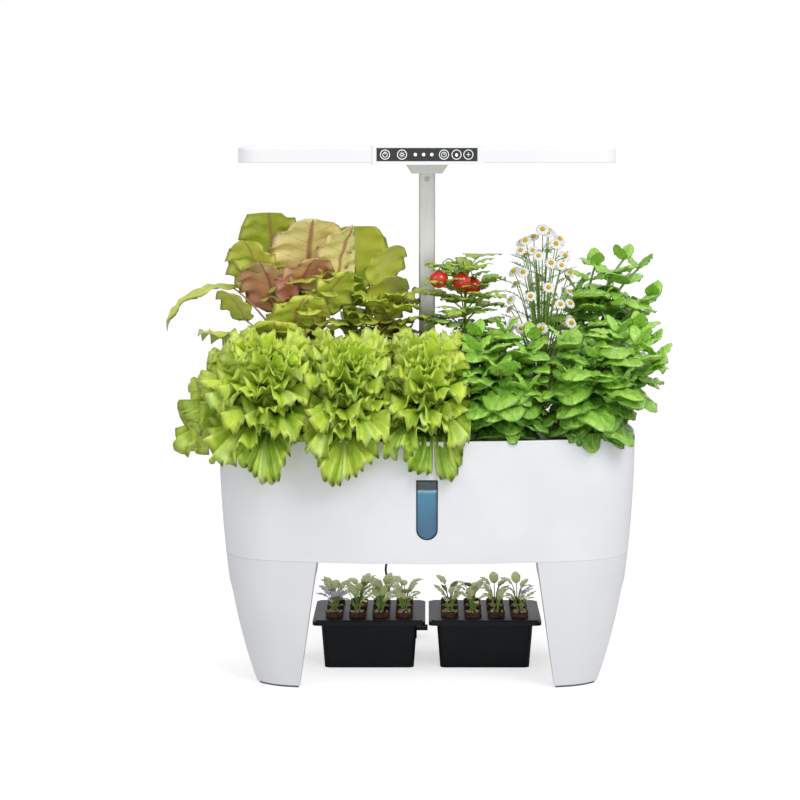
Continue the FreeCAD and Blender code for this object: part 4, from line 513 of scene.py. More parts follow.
class Draft:
    """Gathers the points and faces of one mesh."""

    def __init__(self) -> None:
        """Start with nothing."""
        self.points: list[np.ndarray] = []
        self.charts: list[np.ndarray] = []
        self.tints: list[np.ndarray] = []
        self.faces: list[list[int]] = []
        self.looks: list[int] = []
        self.count = 0

    def add(self, points: np.ndarray, faces: list[list[int]], chart: np.ndarray, tint: np.ndarray,
            look: int) -> None:
        """Add points, with faces that count from the first of them.

        Args:
            points: Points, one a row.
            faces: Faces as point numbers.
            chart: Texture place of each point.
            tint: Tint of each point.
            look: Material number of the faces.
        """
        start = self.count
        self.faces.extend([[start + corner for corner in face] for face in faces])
        self.looks.extend([int(look)] * len(faces))
        self.points.append(points)
        self.charts.append(chart)
        self.tints.append(tint)
        self.count += len(points)

    def sheet(self, grid: np.ndarray, tint: np.ndarray, look: int, thickness: float) -> None:
        """Add a closed sheet that thins out to its edge.

        Args:
            grid: Points as rows along the leaf and columns across it.
            tint: Tint of each grid point.
            look: Material number.
            thickness: Thickness in the middle.
        """
        rows, columns = grid.shape[:2]
        normal = np.cross(np.gradient(grid, axis=0), np.gradient(grid, axis=1))
        normal /= np.linalg.norm(normal, axis=2, keepdims=True) + 1e-12
        swell_rows = np.sin(np.pi * np.linspace(0, 1, rows))[:, None]
        swell_columns = np.sin(np.pi * np.linspace(0, 1, columns))[None, :]
        offset = normal * (thickness / 2 * np.sqrt(np.abs(swell_rows * swell_columns)))[..., None]
        top = np.arange(rows * columns).reshape(rows, columns)
        under = top.copy()
        inner = (rows - 2) * (columns - 2)
        under[1:-1, 1:-1] = rows * columns + np.arange(inner).reshape(rows - 2, columns - 2)
        upper = np.stack([top[:-1, :-1], top[1:, :-1], top[1:, 1:], top[:-1, 1:]], -1).reshape(-1, 4)
        lower = np.stack([under[:-1, :-1], under[:-1, 1:], under[1:, 1:], under[1:, :-1]], -1).reshape(-1, 4)
        across, along = np.meshgrid(np.linspace(0, 1, columns), np.linspace(0, 1, rows))
        chart = np.stack([across, along], -1)
        points = np.concatenate([(grid + offset).reshape(-1, 3), (grid - offset)[1:-1, 1:-1].reshape(-1, 3)])
        charts = np.concatenate([chart.reshape(-1, 2), chart[1:-1, 1:-1].reshape(-1, 2)])
        tints = np.concatenate([tint.reshape(-1), tint[1:-1, 1:-1].reshape(-1)])
        self.add(points, np.concatenate([upper, lower]).tolist(), charts, tints, look)

    def tube(self, path: np.ndarray, radii: np.ndarray, look: int, sides: int = 8) -> None:
        """Add a closed tube.

        Args:
            path: Points along its middle.
            radii: Radius at each point.
            look: Material number.
            sides: Sides of its section.
        """
        path = np.asarray(path, float)
        heading = np.gradient(path, axis=0)
        heading /= np.linalg.norm(heading, axis=1, keepdims=True)
        side = np.cross(heading[0], (0.31, 0.93, 0.19))
        turns = np.arange(sides) * (2 * np.pi / sides)
        rings = []
        for point, ahead, radius in zip(path, heading, radii):
            side = side - side.dot(ahead) * ahead
            side /= np.linalg.norm(side)
            other = np.cross(ahead, side)
            rings.append(point + radius * (np.outer(np.cos(turns), side) + np.outer(np.sin(turns), other)))
        faces = []
        for ring in range(len(path) - 1):
            for step in range(sides):
                after = (step + 1) % sides
                low = ring * sides
                faces.append([low + step, low + after, low + sides + after, low + sides + step])
        faces.append(list(range(sides))[::-1])
        faces.append([(len(path) - 1) * sides + step for step in range(sides)])
        points = np.concatenate(rings)
        chart = np.stack([np.tile(turns / 7, len(path)), np.repeat(np.linspace(0, 1, len(path)), sides)], -1)
        self.add(points, faces, chart, np.full(len(points), MIDDLE_TINT), look)

    def ball(self, centre: Triple, radii: Triple, look: int, rings: int = 10, sides: int = 16) -> None:
        """Add a closed ball with its poles up and down.

        Args:
            centre: Its centre.
            radii: Its half sizes.
            look: Material number.
            rings: Rings from pole to pole.
            sides: Sides of each ring.
        """
        points = [(0.0, 0.0, -1.0)]
        for ring in range(1, rings):
            polar = math.pi * ring / rings
            for step in range(sides):
                turn = 2 * math.pi * step / sides
                reach = math.sin(polar)
                points.append((reach * math.cos(turn), reach * math.sin(turn), -math.cos(polar)))
        points.append((0.0, 0.0, 1.0))
        last = len(points) - 1
        faces = []
        for step in range(sides):
            after = (step + 1) % sides
            faces.append([0, 1 + after, 1 + step])
            faces.append([last, last - sides + step, last - sides + after])
            for ring in range(rings - 2):
                low = 1 + ring * sides
                faces.append([low + step, low + after, low + sides + after, low + sides + step])
        placed = np.array(points) * np.array(radii) + np.array(centre)
        chart = np.array(points)[:, :2] * 0.5 + 0.5
        self.add(placed, faces, chart, np.full(len(placed), MIDDLE_TINT), look)

    def hoop(self, centre: Triple, radius: float, thick: float, look: int, sides: int = 40) -> None:
        """Add a ring that faces the front.

        Args:
            centre: Its centre.
            radius: Radius of its middle line.
            thick: Radius of its wire.
            look: Material number.
            sides: Steps round it.
        """
        wire = 8
        points = []
        faces = []
        for step in range(sides):
            turn = 2 * math.pi * step / sides
            for cut in range(wire):
                bend = 2 * math.pi * cut / wire
                reach = radius + thick * math.cos(bend)
                depth = -0.35 * thick * math.sin(bend)
                points.append((reach * math.cos(turn), depth, reach * math.sin(turn)))
                here = step * wire
                beyond = (step + 1) % sides * wire
                after = (cut + 1) % wire
                faces.append([here + cut, here + after, beyond + after, beyond + cut])
        placed = np.array(points) + np.array(centre)
        self.add(placed, faces, np.zeros((len(placed), 2)), np.full(len(placed), MIDDLE_TINT), look)

    def build(self, name: str, materials: list[bpy.types.Material]) -> bpy.types.Object:
        """Make the mesh's object.

        Args:
            name: The object's name.
            materials: Materials in the order of the material numbers.

        Returns:
            The object, linked to the scene.
        """
        mesh = bpy.data.meshes.new(name)
        points = np.concatenate(self.points)
        mesh.from_pydata(points.tolist(), [], self.faces)
        for material in materials:
            mesh.materials.append(material)
        mesh.polygons.foreach_set("material_index", self.looks)
        mesh.polygons.foreach_set("use_smooth", [True] * len(mesh.polygons))
        corners = np.empty(len(mesh.loops), np.int32)
        mesh.loops.foreach_get("vertex_index", corners)
        charts = np.concatenate(self.charts)[corners]
        mesh.uv_layers.new(name="UVMap").data.foreach_set("uv", charts.ravel().tolist())
        tints = np.concatenate(self.tints)
        mesh.attributes.new("tint", "FLOAT", "POINT").data.foreach_set("value", tints.tolist())
        mesh.update()
        piece = bpy.data.objects.new(name, mesh)
        bpy.context.scene.collection.objects.link(piece)
        return piece


def curved(length: float, elevation: float, bend: float, share: np.ndarray, side: np.ndarray,
           lift: np.ndarray, azimuth: float) -> np.ndarray:
    """Bend flat leaf places into space.

    Args:
        length: Length of the leaf along its curve.
        elevation: Angle of its base above level, in degrees.
        bend: Angle that it bends down over its length, in degrees.
        share: Place along the leaf, 1 at its tip.
        side: Distance to the left of its middle.
        lift: Height above its curved face.
        azimuth: Direction that it grows in, in radians.

    Returns:
        The places, from a base at the origin.
    """
    start = math.radians(elevation)
    turn = math.radians(bend if abs(bend) > 0.5 else 0.5)
    angle = start - turn * share
    forward = length * (math.sin(start) - np.sin(angle)) / turn - np.sin(angle) * lift
    height = length * (np.cos(angle) - math.cos(start)) / turn + np.cos(angle) * lift
    east = forward * math.cos(azimuth) - side * math.sin(azimuth)
    north = forward * math.sin(azimuth) + side * math.cos(azimuth)
    return np.stack([east, north, height], -1)


@dataclass(frozen=True)
class Blade:
    """A leaf with one midrib."""

    length: float
    width: float
    fold: float = 0.25
    curl: float = 0.18
    pucker: float = 0.02
    wave: float = 0.10
    waves: float = 3.0
    base_power: float = 0.55
    tip_power: float = 0.70
    lobes: float = 0.0
    lobe_depth: float = 0.0
    rows: int = 17
    columns: int = 11
    thickness: float = 0.0012

    def grid(self, azimuth: float, elevation: float, bend: float, dice: random.Random) -> np.ndarray:
        """Return the leaf's points from a base at the origin.

        Args:
            azimuth: Direction that it grows in, in radians.
            elevation: Angle of its base above level, in degrees.
            bend: Angle that it bends down, in degrees.
            dice: Seeded random numbers.

        Returns:
            Points as rows along the leaf and columns across it.
        """
        along = np.linspace(0, 1, self.rows)[:, None]
        across = np.linspace(-1, 1, self.columns)[None, :]
        outline = (along + 0.012) ** self.base_power * (1.012 - along) ** self.tip_power
        outline = outline / outline.max()
        if self.lobes:
            outline = outline * (1 - self.lobe_depth * (0.5 + 0.5 * np.cos(2 * np.pi * self.lobes * along)))
        half = self.width / 2 * outline
        first = dice.uniform(*PHASES)
        second = dice.uniform(*PHASES)
        ripple = np.sin(2 * np.pi * self.waves * along + first + 1.9 * (across > 0))
        bubbles = np.sin(21 * along + first) * np.sin(5.3 * across * (1 + along) + second)
        lift = np.abs(across) * half * math.sin(self.fold) - self.curl * half * across ** 2
        lift = lift + self.wave * half * across ** 2 * ripple
        lift = lift + self.pucker * self.length * bubbles * half / self.width
        side = across * half * math.cos(self.fold) + dice.uniform(-0.08, 0.08) * self.length * along ** 2
        share = along + 0 * across
        return curved(self.length, elevation, bend, share, side, lift, azimuth)


@dataclass(frozen=True)
class Fan:
    """A broad leaf with a frilled edge."""

    length: float
    width: float
    spread: float = 112.0
    frill: float = 0.115
    folds: float = 9.0
    fringe: float = 27.0
    rows: int = 8
    columns: int = 121
    thickness: float = 0.0011

    def grid(self, azimuth: float, elevation: float, bend: float, dice: random.Random) -> np.ndarray:
        """Return the leaf's points from a base at the origin.

        Args:
            azimuth: Direction that it grows in, in radians.
            elevation: Angle of its base above level, in degrees.
            bend: Angle that it bends down, in degrees.
            dice: Seeded random numbers.

        Returns:
            Points as rows outwards and columns round the edge.
        """
        out = (np.linspace(0.05, 1, self.rows) ** 0.85)[:, None]
        turn = np.radians(np.linspace(-self.spread, self.spread, self.columns))[None, :]
        phases = [dice.uniform(*PHASES) for _ in range(4)]
        lobes = 1 + 0.10 * np.sin(4.2 * turn + phases[0])
        lobes = lobes + 0.035 * np.sin(self.fringe * turn + phases[1]) * out ** 4
        reach = out * lobes
        along = 0.28 * out + 0.72 * reach * np.cos(turn)
        side = self.width / 2 * reach * np.sin(turn) * (0.35 + 0.65 * out)
        wide = self.frill * self.length
        lift = wide * out ** 2.4 * np.sin(self.folds * turn + phases[2])
        lift = lift + 0.55 * wide * out ** 5 * np.sin(self.fringe * turn + phases[3])
        lift = lift + 0.14 * self.length * reach ** 2 * np.sin(turn) ** 2
        return curved(self.length, elevation, bend, along, side, lift, azimuth)


@dataclass(frozen=True)
class Leaf:
    """One placed leaf, by its middle from the plant's hole."""

    middle: Triple
    blade: Blade
    azimuth: float = -90.0
    elevation: float = 45.0
    bend: float = 60.0
    tint: float = 0.6
    look: int = Look.LEAF


class Cell:
    """The room that one plant grows in."""

    margin: float = 0.006
    over_deck: float = 0.004
    over_rim: float = 0.016
    rim_rise: float = 0.012
    rim_reach: float = 0.03
    fall_past_rim: int = 16

    def __init__(self, name: str) -> None:
        """Read the plant's room and hole from the frame.

        Args:
            name: The pod's name.
        """
        self.name = name
        self.low, self.high = (np.array(corner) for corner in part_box(f"plant_{name}"))
        cup_low, cup_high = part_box(f"net_cup_{name}")
        self.hole = np.array([(cup_low.x + cup_high.x) / 2, (cup_low.y + cup_high.y) / 2, cup_high.z])

    def room(self, azimuth: float) -> float:
        """Return the distance from the hole to the room's side in one direction."""
        distances = []
        for axis, part in enumerate((math.cos(azimuth), math.sin(azimuth))):
            if abs(part) > 1e-3:
                wall = self.high[axis] if part > 0 else self.low[axis]
                distances.append((wall - self.hole[axis]) / part)
        return min(distances)

    def hold(self, points: np.ndarray) -> np.ndarray:
        """Keep points over the deck and softly inside the room.

        Args:
            points: Points, with their coordinates last.

        Returns:
            The points where they may be.
        """
        held = points.copy()
        for axis in range(3):
            over = held[..., axis] - self.high[axis]
            held[..., axis] = np.where(over > 0, self.high[axis] + self.margin * np.tanh(over / self.margin),
                                       held[..., axis])
            below = self.low[axis] - held[..., axis]
            held[..., axis] = np.where(below > 0, self.low[axis] - self.margin * np.tanh(below / self.margin),
                                       held[..., axis])
        front = RIM_HALF_Y - held[..., 0] ** 2 / (2 * RIM_FRONT_RADIUS) - np.abs(held[..., 1])
        beside = RIM_HALF_X - held[..., 1] ** 2 / (2 * RIM_SIDE_RADIUS) - np.abs(held[..., 0])
        inside = np.minimum(front, beside)
        rise = self.rim_rise * np.clip(1 - inside / self.rim_reach, 0, 1)
        outside_floor = DECK_TOP + self.over_rim + self.fall_past_rim * inside
        floor = np.where(inside > 0, DECK_TOP + self.over_deck + rise, outside_floor)
        held[..., 2] = np.maximum(held[..., 2], floor)
        return held


def stalk(start: np.ndarray, end: np.ndarray, rise: float, steps: int = 9) -> np.ndarray:
    """Return a path that leaves its start upwards and bends to its end.

    Args:
        start: First point.
        end: Last point.
        rise: Share of the height that is climbed before it bends.
        steps: Number of points.

    Returns:
        The path's points.
    """
    knee = start + np.array([0.25, 0.25, rise]) * (end - start)
    share = np.linspace(0, 1, steps)[:, None]
    return (1 - share) ** 2 * start + 2 * share * (1 - share) * knee + share ** 2 * end


def lengthwise(base: float, tip: float, grid: np.ndarray) -> np.ndarray:
    """Return a value for each point of a leaf that changes from its base to its tip.

    Args:
        base: The value at the base.
        tip: The value at the tip.
        grid: The leaf's points as rows along it.

    Returns:
        The values, as rows along the leaf.
    """
    rows, columns = grid.shape[:2]
    return np.linspace(base, tip, rows)[:, None] + np.zeros(columns)[None, :]


class Plant:
    """One plant with its root plug, as one piece on its pod."""

    skin: LeafFinish = BASIL
    stem: Finish = STEM_GREEN
    extra: LeafFinish | Finish = PEAT
    slot: str = "basil_green"
    plug_radius: float = 0.0165

    def __init__(self, name: str, seed: int) -> None:
        """Read the plant's room.

        Args:
            name: The pod's name.
            seed: Seed of its random numbers.
        """
        self.cell = Cell(name)
        self.dice = random.Random(seed)
        self.draft = Draft()

    def leaf(self, blade: Blade | Fan, base: np.ndarray, azimuth: float, elevation: float, bend: float,
             tint: float) -> None:
        """Add a leaf that starts at its base.

        Args:
            blade: The leaf's form.
            base: Where it starts.
            azimuth: Direction that it grows in, in radians.
            elevation: Angle of its base above level, in degrees.
            bend: Angle that it bends down, in degrees.
            tint: Lightness from 0 to 1.
        """
        grid = self.cell.hold(blade.grid(azimuth, elevation, bend, self.dice) + base)
        self.draft.sheet(grid, tint + lengthwise(-0.22, 0.22, grid), Look.LEAF, blade.thickness)

    def placed(self, leaf: Leaf) -> None:
        """Add a leaf by its middle, with a stalk from the hole.

        Args:
            leaf: The leaf and its place.
        """
        azimuth = math.radians(leaf.azimuth)
        grid = leaf.blade.grid(azimuth, leaf.elevation, leaf.bend, self.dice)
        centre = grid.reshape(-1, 3).mean(axis=0)
        grid = self.cell.hold(grid - centre + self.cell.hole + np.array(leaf.middle))
        self.draft.sheet(grid, leaf.tint + lengthwise(-0.15, 0.25, grid), leaf.look, leaf.blade.thickness)
        shift = [self.dice.uniform(-0.006, 0.006) for _ in range(2)]
        foot = self.cell.hole + np.array([*shift, 0.0])
        inner = grid[1].mean(axis=0)
        path = stalk(foot, inner, 0.7, 11)
        thick = 0.0016 + 0.018 * leaf.blade.width
        self.draft.tube(path, np.linspace(thick, 0.0012, len(path)), Look.STEM)

    def plug(self) -> None:
        """Add the root plug in the cup's mouth."""
        x, y, z = self.cell.hole
        self.draft.ball((x, y, z - 0.004), (self.plug_radius, self.plug_radius, 0.007), Look.PEAT)

    def grow(self) -> None:
        """Add the plant's leaves."""

    def make(self) -> None:
        """Build the plant and put it on its pod."""
        self.plug()
        self.grow()
        materials = [self.skin.material(), self.stem.material(), PEAT.material(), self.extra.material()]
        piece = self.draft.build(f"foliage_{self.cell.name}", materials)
        register(piece, f"pod_{self.cell.name}", f"plant_{self.cell.name}")


class Lettuce(Plant):
    """A mound of frilled leaves."""

    skin = LETTUCE
    slot = "lettuce_green"
    leaves: int = 52
    longest: float = 0.138
    inmost: float = 0.064
    shortest: float = 0.056

    def grow(self) -> None:
        """Turn the leaves by the golden angle, low ones long and high ones upright."""
        for number in range(self.leaves):
            share = number / (self.leaves - 1)
            azimuth = number * GOLDEN_ANGLE + self.dice.uniform(-0.15, 0.15)
            room = self.cell.room(azimuth)
            length = (1 - share) * min(1.05 * room, self.longest) + share * self.inmost
            length = max(length, self.shortest)
            level = math.degrees(math.acos(min(1.0, (room + 0.012) / length)))
            elevation = max(14 + 66 * share, level) + self.dice.uniform(-9, 9)
            bend = 92 - 62 * share + self.dice.uniform(-16, 16)
            base = self.cell.hole + np.array([0.0, 0.0, 0.004 + 0.092 * share ** 0.8])
            base = base + 0.016 * np.array([math.cos(azimuth), math.sin(azimuth), 0.0])
            beside = min(self.cell.room(azimuth - math.pi / 2), self.cell.room(azimuth + math.pi / 2))
            width = min(length * self.dice.uniform(1.05, 1.4), 1.75 * beside)
            form = Fan(length, width, folds=self.dice.uniform(7.5, 10.5))
            tint = 0.34 + 0.42 * share + self.dice.uniform(-0.14, 0.14)
            self.leaf(form, base, azimuth, elevation, bend, tint)


class Basil(Plant):
    """Branching stems that end in crossed pairs of cupped leaves."""

    heads: tuple[Triple, ...] = ()
    leaf_length: float = 0.075

    def __init__(self, name: str, seed: int, heads: tuple[Triple, ...]) -> None:
        """Take the places of the branch ends.

        Args:
            name: The pod's name.
            seed: Seed of its random numbers.
            heads: Branch ends from the plant's hole.
        """
        super().__init__(name, seed)
        self.heads = heads

    def grow(self) -> None:
        """Grow a branch to each head, with smaller and lighter leaves towards its end."""
        # Each row is size, elevation, bend and tint of one pair, from the branch tip down; the high tints
        # near the tip carry the painted highlight.
        levels = ((0.42, 58, 20, 1.0), (0.72, 40, 40, 0.88), (1.0, 24, 50, 0.66), (1.12, 10, 55, 0.48),
                  (1.05, 0, 50, 0.34), (0.9, -4, 45, 0.26))
        for place in self.heads:
            end = self.cell.hole + np.array(place)
            path = stalk(self.cell.hole.copy(), end, 0.75, 13)
            self.draft.tube(path, np.linspace(0.0032, 0.0016, len(path)), Look.STEM)
            first = self.dice.uniform(0, math.pi)
            for level, (size, elevation, bend, tint) in enumerate(levels):
                spot = path[-1 - min(level * 2, 10)]
                for side in range(2):
                    azimuth = first + level * math.pi / 2 + side * math.pi + self.dice.uniform(-0.25, 0.25)
                    length = self.leaf_length * size * self.dice.uniform(0.9, 1.1)
                    blade = Blade(length, length * 0.74, 0.22, 0.40, 0.10, 0.08, 2.5)
                    lean = elevation + self.dice.uniform(-8, 8)
                    self.leaf(blade, spot, azimuth, lean, bend, tint + self.dice.uniform(-0.1, 0.1))


class Spray(Plant):
    """A plant of placed leaves, filled out below with smaller ones."""

    fill: int = 14
    fill_blade: Blade = Blade(0.075, 0.055, 0.2, 0.25, 0.06, 0.16)
    fill_tint: float = 0.35

    def leaves(self) -> tuple[Leaf, ...]:
        """Return the placed leaves."""
        return ()

    def grow(self) -> None:
        """Add the placed leaves, then the filling ones round the stem."""
        for leaf in self.leaves():
            self.placed(leaf)
        height = self.cell.high[2] - self.cell.hole[2]
        for number in range(self.fill):
            share = (number + 0.5) / self.fill
            azimuth = number * GOLDEN_ANGLE
            reach = min(self.cell.room(azimuth) * 0.45, 0.06) * (1 - 0.4 * share)
            middle = (reach * math.cos(azimuth), reach * math.sin(azimuth), height * (0.12 + 0.62 * share))
            tint = self.fill_tint + 0.35 * share + self.dice.uniform(-0.12, 0.12)
            self.placed(Leaf(middle, self.fill_blade, math.degrees(azimuth), 38, 60, tint))


class Mustard(Spray):
    """Cream and pink leaves with purple veins over green ones."""

    skin = MUSTARD_GREEN
    stem = STEM_PINK
    extra = MUSTARD_CREAM
    slot = "mustard_pink"
    fill = 22

    def leaves(self) -> tuple[Leaf, ...]:
        """Return the leaves that stand out."""
        big = Blade(0.112, 0.120, 0.04, 0.20, 0.05, 0.20, 4.0, base_power=0.42, tip_power=0.5)
        middle = Blade(0.096, 0.092, 0.06, 0.22, 0.05, 0.20, 4.0, base_power=0.42, tip_power=0.55)
        small = Blade(0.068, 0.060, 0.08, 0.22, 0.04, 0.16, 3.0, base_power=0.45, tip_power=0.6)
        return (
            Leaf((-0.003, 0.000, 0.262), big, -80, 88, 50, 0.92, Look.EXTRA),
            Leaf((-0.008, -0.022, 0.222), middle, -60, 80, 60, 0.10, Look.EXTRA),
            Leaf((-0.062, -0.010, 0.212), middle, -110, 82, 55, 0.20, Look.EXTRA),
            Leaf((-0.084, -0.004, 0.240), middle, -120, 84, 50, 0.95),
            Leaf((-0.060, 0.008, 0.286), middle, -100, 86, 50, 0.62),
            Leaf((0.048, -0.006, 0.262), middle, -60, 84, 50, 0.95, Look.EXTRA),
            Leaf((-0.112, -0.010, 0.186), small, -130, 70, 50, 0.70),
            Leaf((-0.170, 0.000, 0.190), Blade(0.140, 0.066, 0.1, 0.3, 0.05, 0.12), 180, 12, 85, 0.70),
            Leaf((-0.018, -0.030, 0.172), middle, -70, 76, 60, 0.85),
            Leaf((-0.050, -0.028, 0.140), middle, -100, 70, 60, 0.72),
            Leaf((-0.120, -0.020, 0.136), middle, -140, 50, 60, 0.62),
            Leaf((0.034, -0.026, 0.206), middle, -50, 76, 60, 0.75),
            Leaf((-0.080, 0.024, 0.252), middle, 110, 50, 60, 0.55),
            Leaf((-0.010, 0.026, 0.226), middle, 70, 46, 60, 0.50, Look.EXTRA),
        )


class Broadleaf(Spray):
    """Tall soft leaves behind the mustard."""

    skin = BROADLEAF
    slot = "broadleaf_green"
    fill = 16
    fill_tint = 0.3

    def leaves(self) -> tuple[Leaf, ...]:
        """Return the leaves that stand out."""
        wide = Blade(0.104, 0.096, 0.06, 0.20, 0.04, 0.12, base_power=0.42, tip_power=0.6)
        low = Blade(0.084, 0.072, 0.08, 0.20, 0.04, 0.12, base_power=0.45, tip_power=0.6)
        return (
            Leaf((0.006, 0.000, 0.264), wide, -75, 84, 50, 0.95),
            Leaf((0.050, -0.008, 0.238), low, -50, 80, 55, 0.90),
            Leaf((0.052, -0.014, 0.196), low, -60, 76, 55, 0.80),
            Leaf((-0.012, -0.022, 0.210), low, -110, 76, 55, 0.30),
            Leaf((-0.030, -0.010, 0.244), low, -100, 80, 55, 0.85),
            Leaf((0.000, 0.050, 0.230), wide, 95, 50, 62, 0.55),
            Leaf((-0.026, 0.052, 0.190), wide, 130, 38, 62, 0.45),
            Leaf((0.044, 0.040, 0.186), low, 50, 40, 60, 0.50),
        )


class Oakleaf(Spray):
    """Bronze lobed leaves under light tips."""

    skin = OAKLEAF
    slot = "oakleaf_red"
    fill = 34
    fill_blade = Blade(0.076, 0.050, 0.2, 0.2, 0.08, 0.2, 3.5, 0.5, 0.4, 3.5, 0.55, 25)
    fill_tint = 0.08

    def leaves(self) -> tuple[Leaf, ...]:
        """Return the light leaves at the top."""
        light = Blade(0.070, 0.048, 0.2, 0.25, 0.08, 0.2, 3.5, 0.5, 0.45, 3.5, 0.4, 25)
        tips = []
        for index in range(9):
            turn = index * GOLDEN_ANGLE - 1.4
            height = 0.178 + 0.018 * math.sin(3 * turn)
            middle = (0.034 * math.cos(turn), 0.026 * math.sin(turn), height)
            tips.append(Leaf(middle, light, math.degrees(turn), 50, 55, 0.78))
        return tuple(tips)


class Tomato(Plant):
    """Stems with compound leaves and three ripe fruits."""

    skin = TOMATO_LEAF
    extra = TOMATO_RED
    slot = "tomato_green"
    fruit_radius: float = 0.0135
    fruits: tuple[Triple, ...] = ((-0.038, -0.0258, 0.222), (-0.006, -0.0255, 0.219),
                                  (0.0102, -0.0037, 0.211))
    stems: int = 30
    rib_length: float = 0.062
    leaflet: Blade = Blade(0.040, 0.027, 0.1, 0.25, 0.05, 0.2, 3.0, lobes=3.0, lobe_depth=0.2, rows=13,
                           columns=7)
    end_leaflet: Blade = Blade(0.048, 0.034, 0.1, 0.25, 0.05, 0.2, 3.0, lobes=3.0, lobe_depth=0.2, rows=15,
                               columns=7)

    def grow(self) -> None:
        """Grow the main stem, its compound leaves and the fruits."""
        hole = self.cell.hole
        top = hole + np.array([0.0, 0.004, self.cell.high[2] - hole[2] - 0.03])
        trunk = stalk(hole.copy(), top, 0.5, 15)
        self.draft.tube(trunk, np.linspace(0.0036, 0.0018, len(trunk)), Look.STEM)
        for number in range(self.stems):
            share = number / (self.stems - 1)
            spot = trunk[min(2 + int(share * 12), 14)]
            self.compound(spot, number * GOLDEN_ANGLE + 0.5, 18 + 46 * share, 0.35 + 0.6 * share)
        for place in self.fruits:
            self.fruit(hole + np.array(place), trunk[9])

    def compound(self, base: np.ndarray, azimuth: float, elevation: float, tint: float) -> None:
        """Add a leaf of five leaflets.

        Args:
            base: Where its stalk starts.
            azimuth: Direction that it grows in, in radians.
            elevation: Angle of its base above level, in degrees.
            tint: Lightness from 0 to 1.
        """
        share = np.linspace(0, 1, 7)
        line = curved(self.rib_length, elevation, 55, share, 0 * share, 0 * share, azimuth)
        rib = self.cell.hold(line + base)
        self.draft.tube(rib, np.linspace(0.0014, 0.0007, len(rib)), Look.STEM, sides=6)
        for index in (2, 4):
            for side in (-1, 1):
                self.leaf(self.leaflet, rib[index], azimuth + side * 1.1, elevation - 20, 45, tint)
        self.leaf(self.end_leaflet, rib[-1], azimuth, elevation - 40, 40, tint)

    def fruit(self, centre: np.ndarray, branch: np.ndarray) -> None:
        """Add a fruit with its green star and stalk.

        Args:
            centre: The fruit's centre.
            branch: Where its stalk starts.
        """
        radius = self.fruit_radius
        self.draft.ball(tuple(centre), (radius, radius, 0.94 * radius), Look.EXTRA, 20, 32)
        crown = centre + np.array([0.0, 0.0, 0.93 * radius])
        for ray in range(5):
            blade = Blade(0.013, 0.004, 0.2, 0.0, 0.0, 0.1, rows=7, columns=5, thickness=0.0009)
            self.leaf(blade, crown, ray * 1.2566 + 0.3, 20, 65, 0.5)
        path = stalk(branch, crown + np.array([0.0, 0.0, 0.001]), 1.6, 9)
        self.draft.tube(path, np.full(len(path), 0.0010), Look.STEM, sides=6)


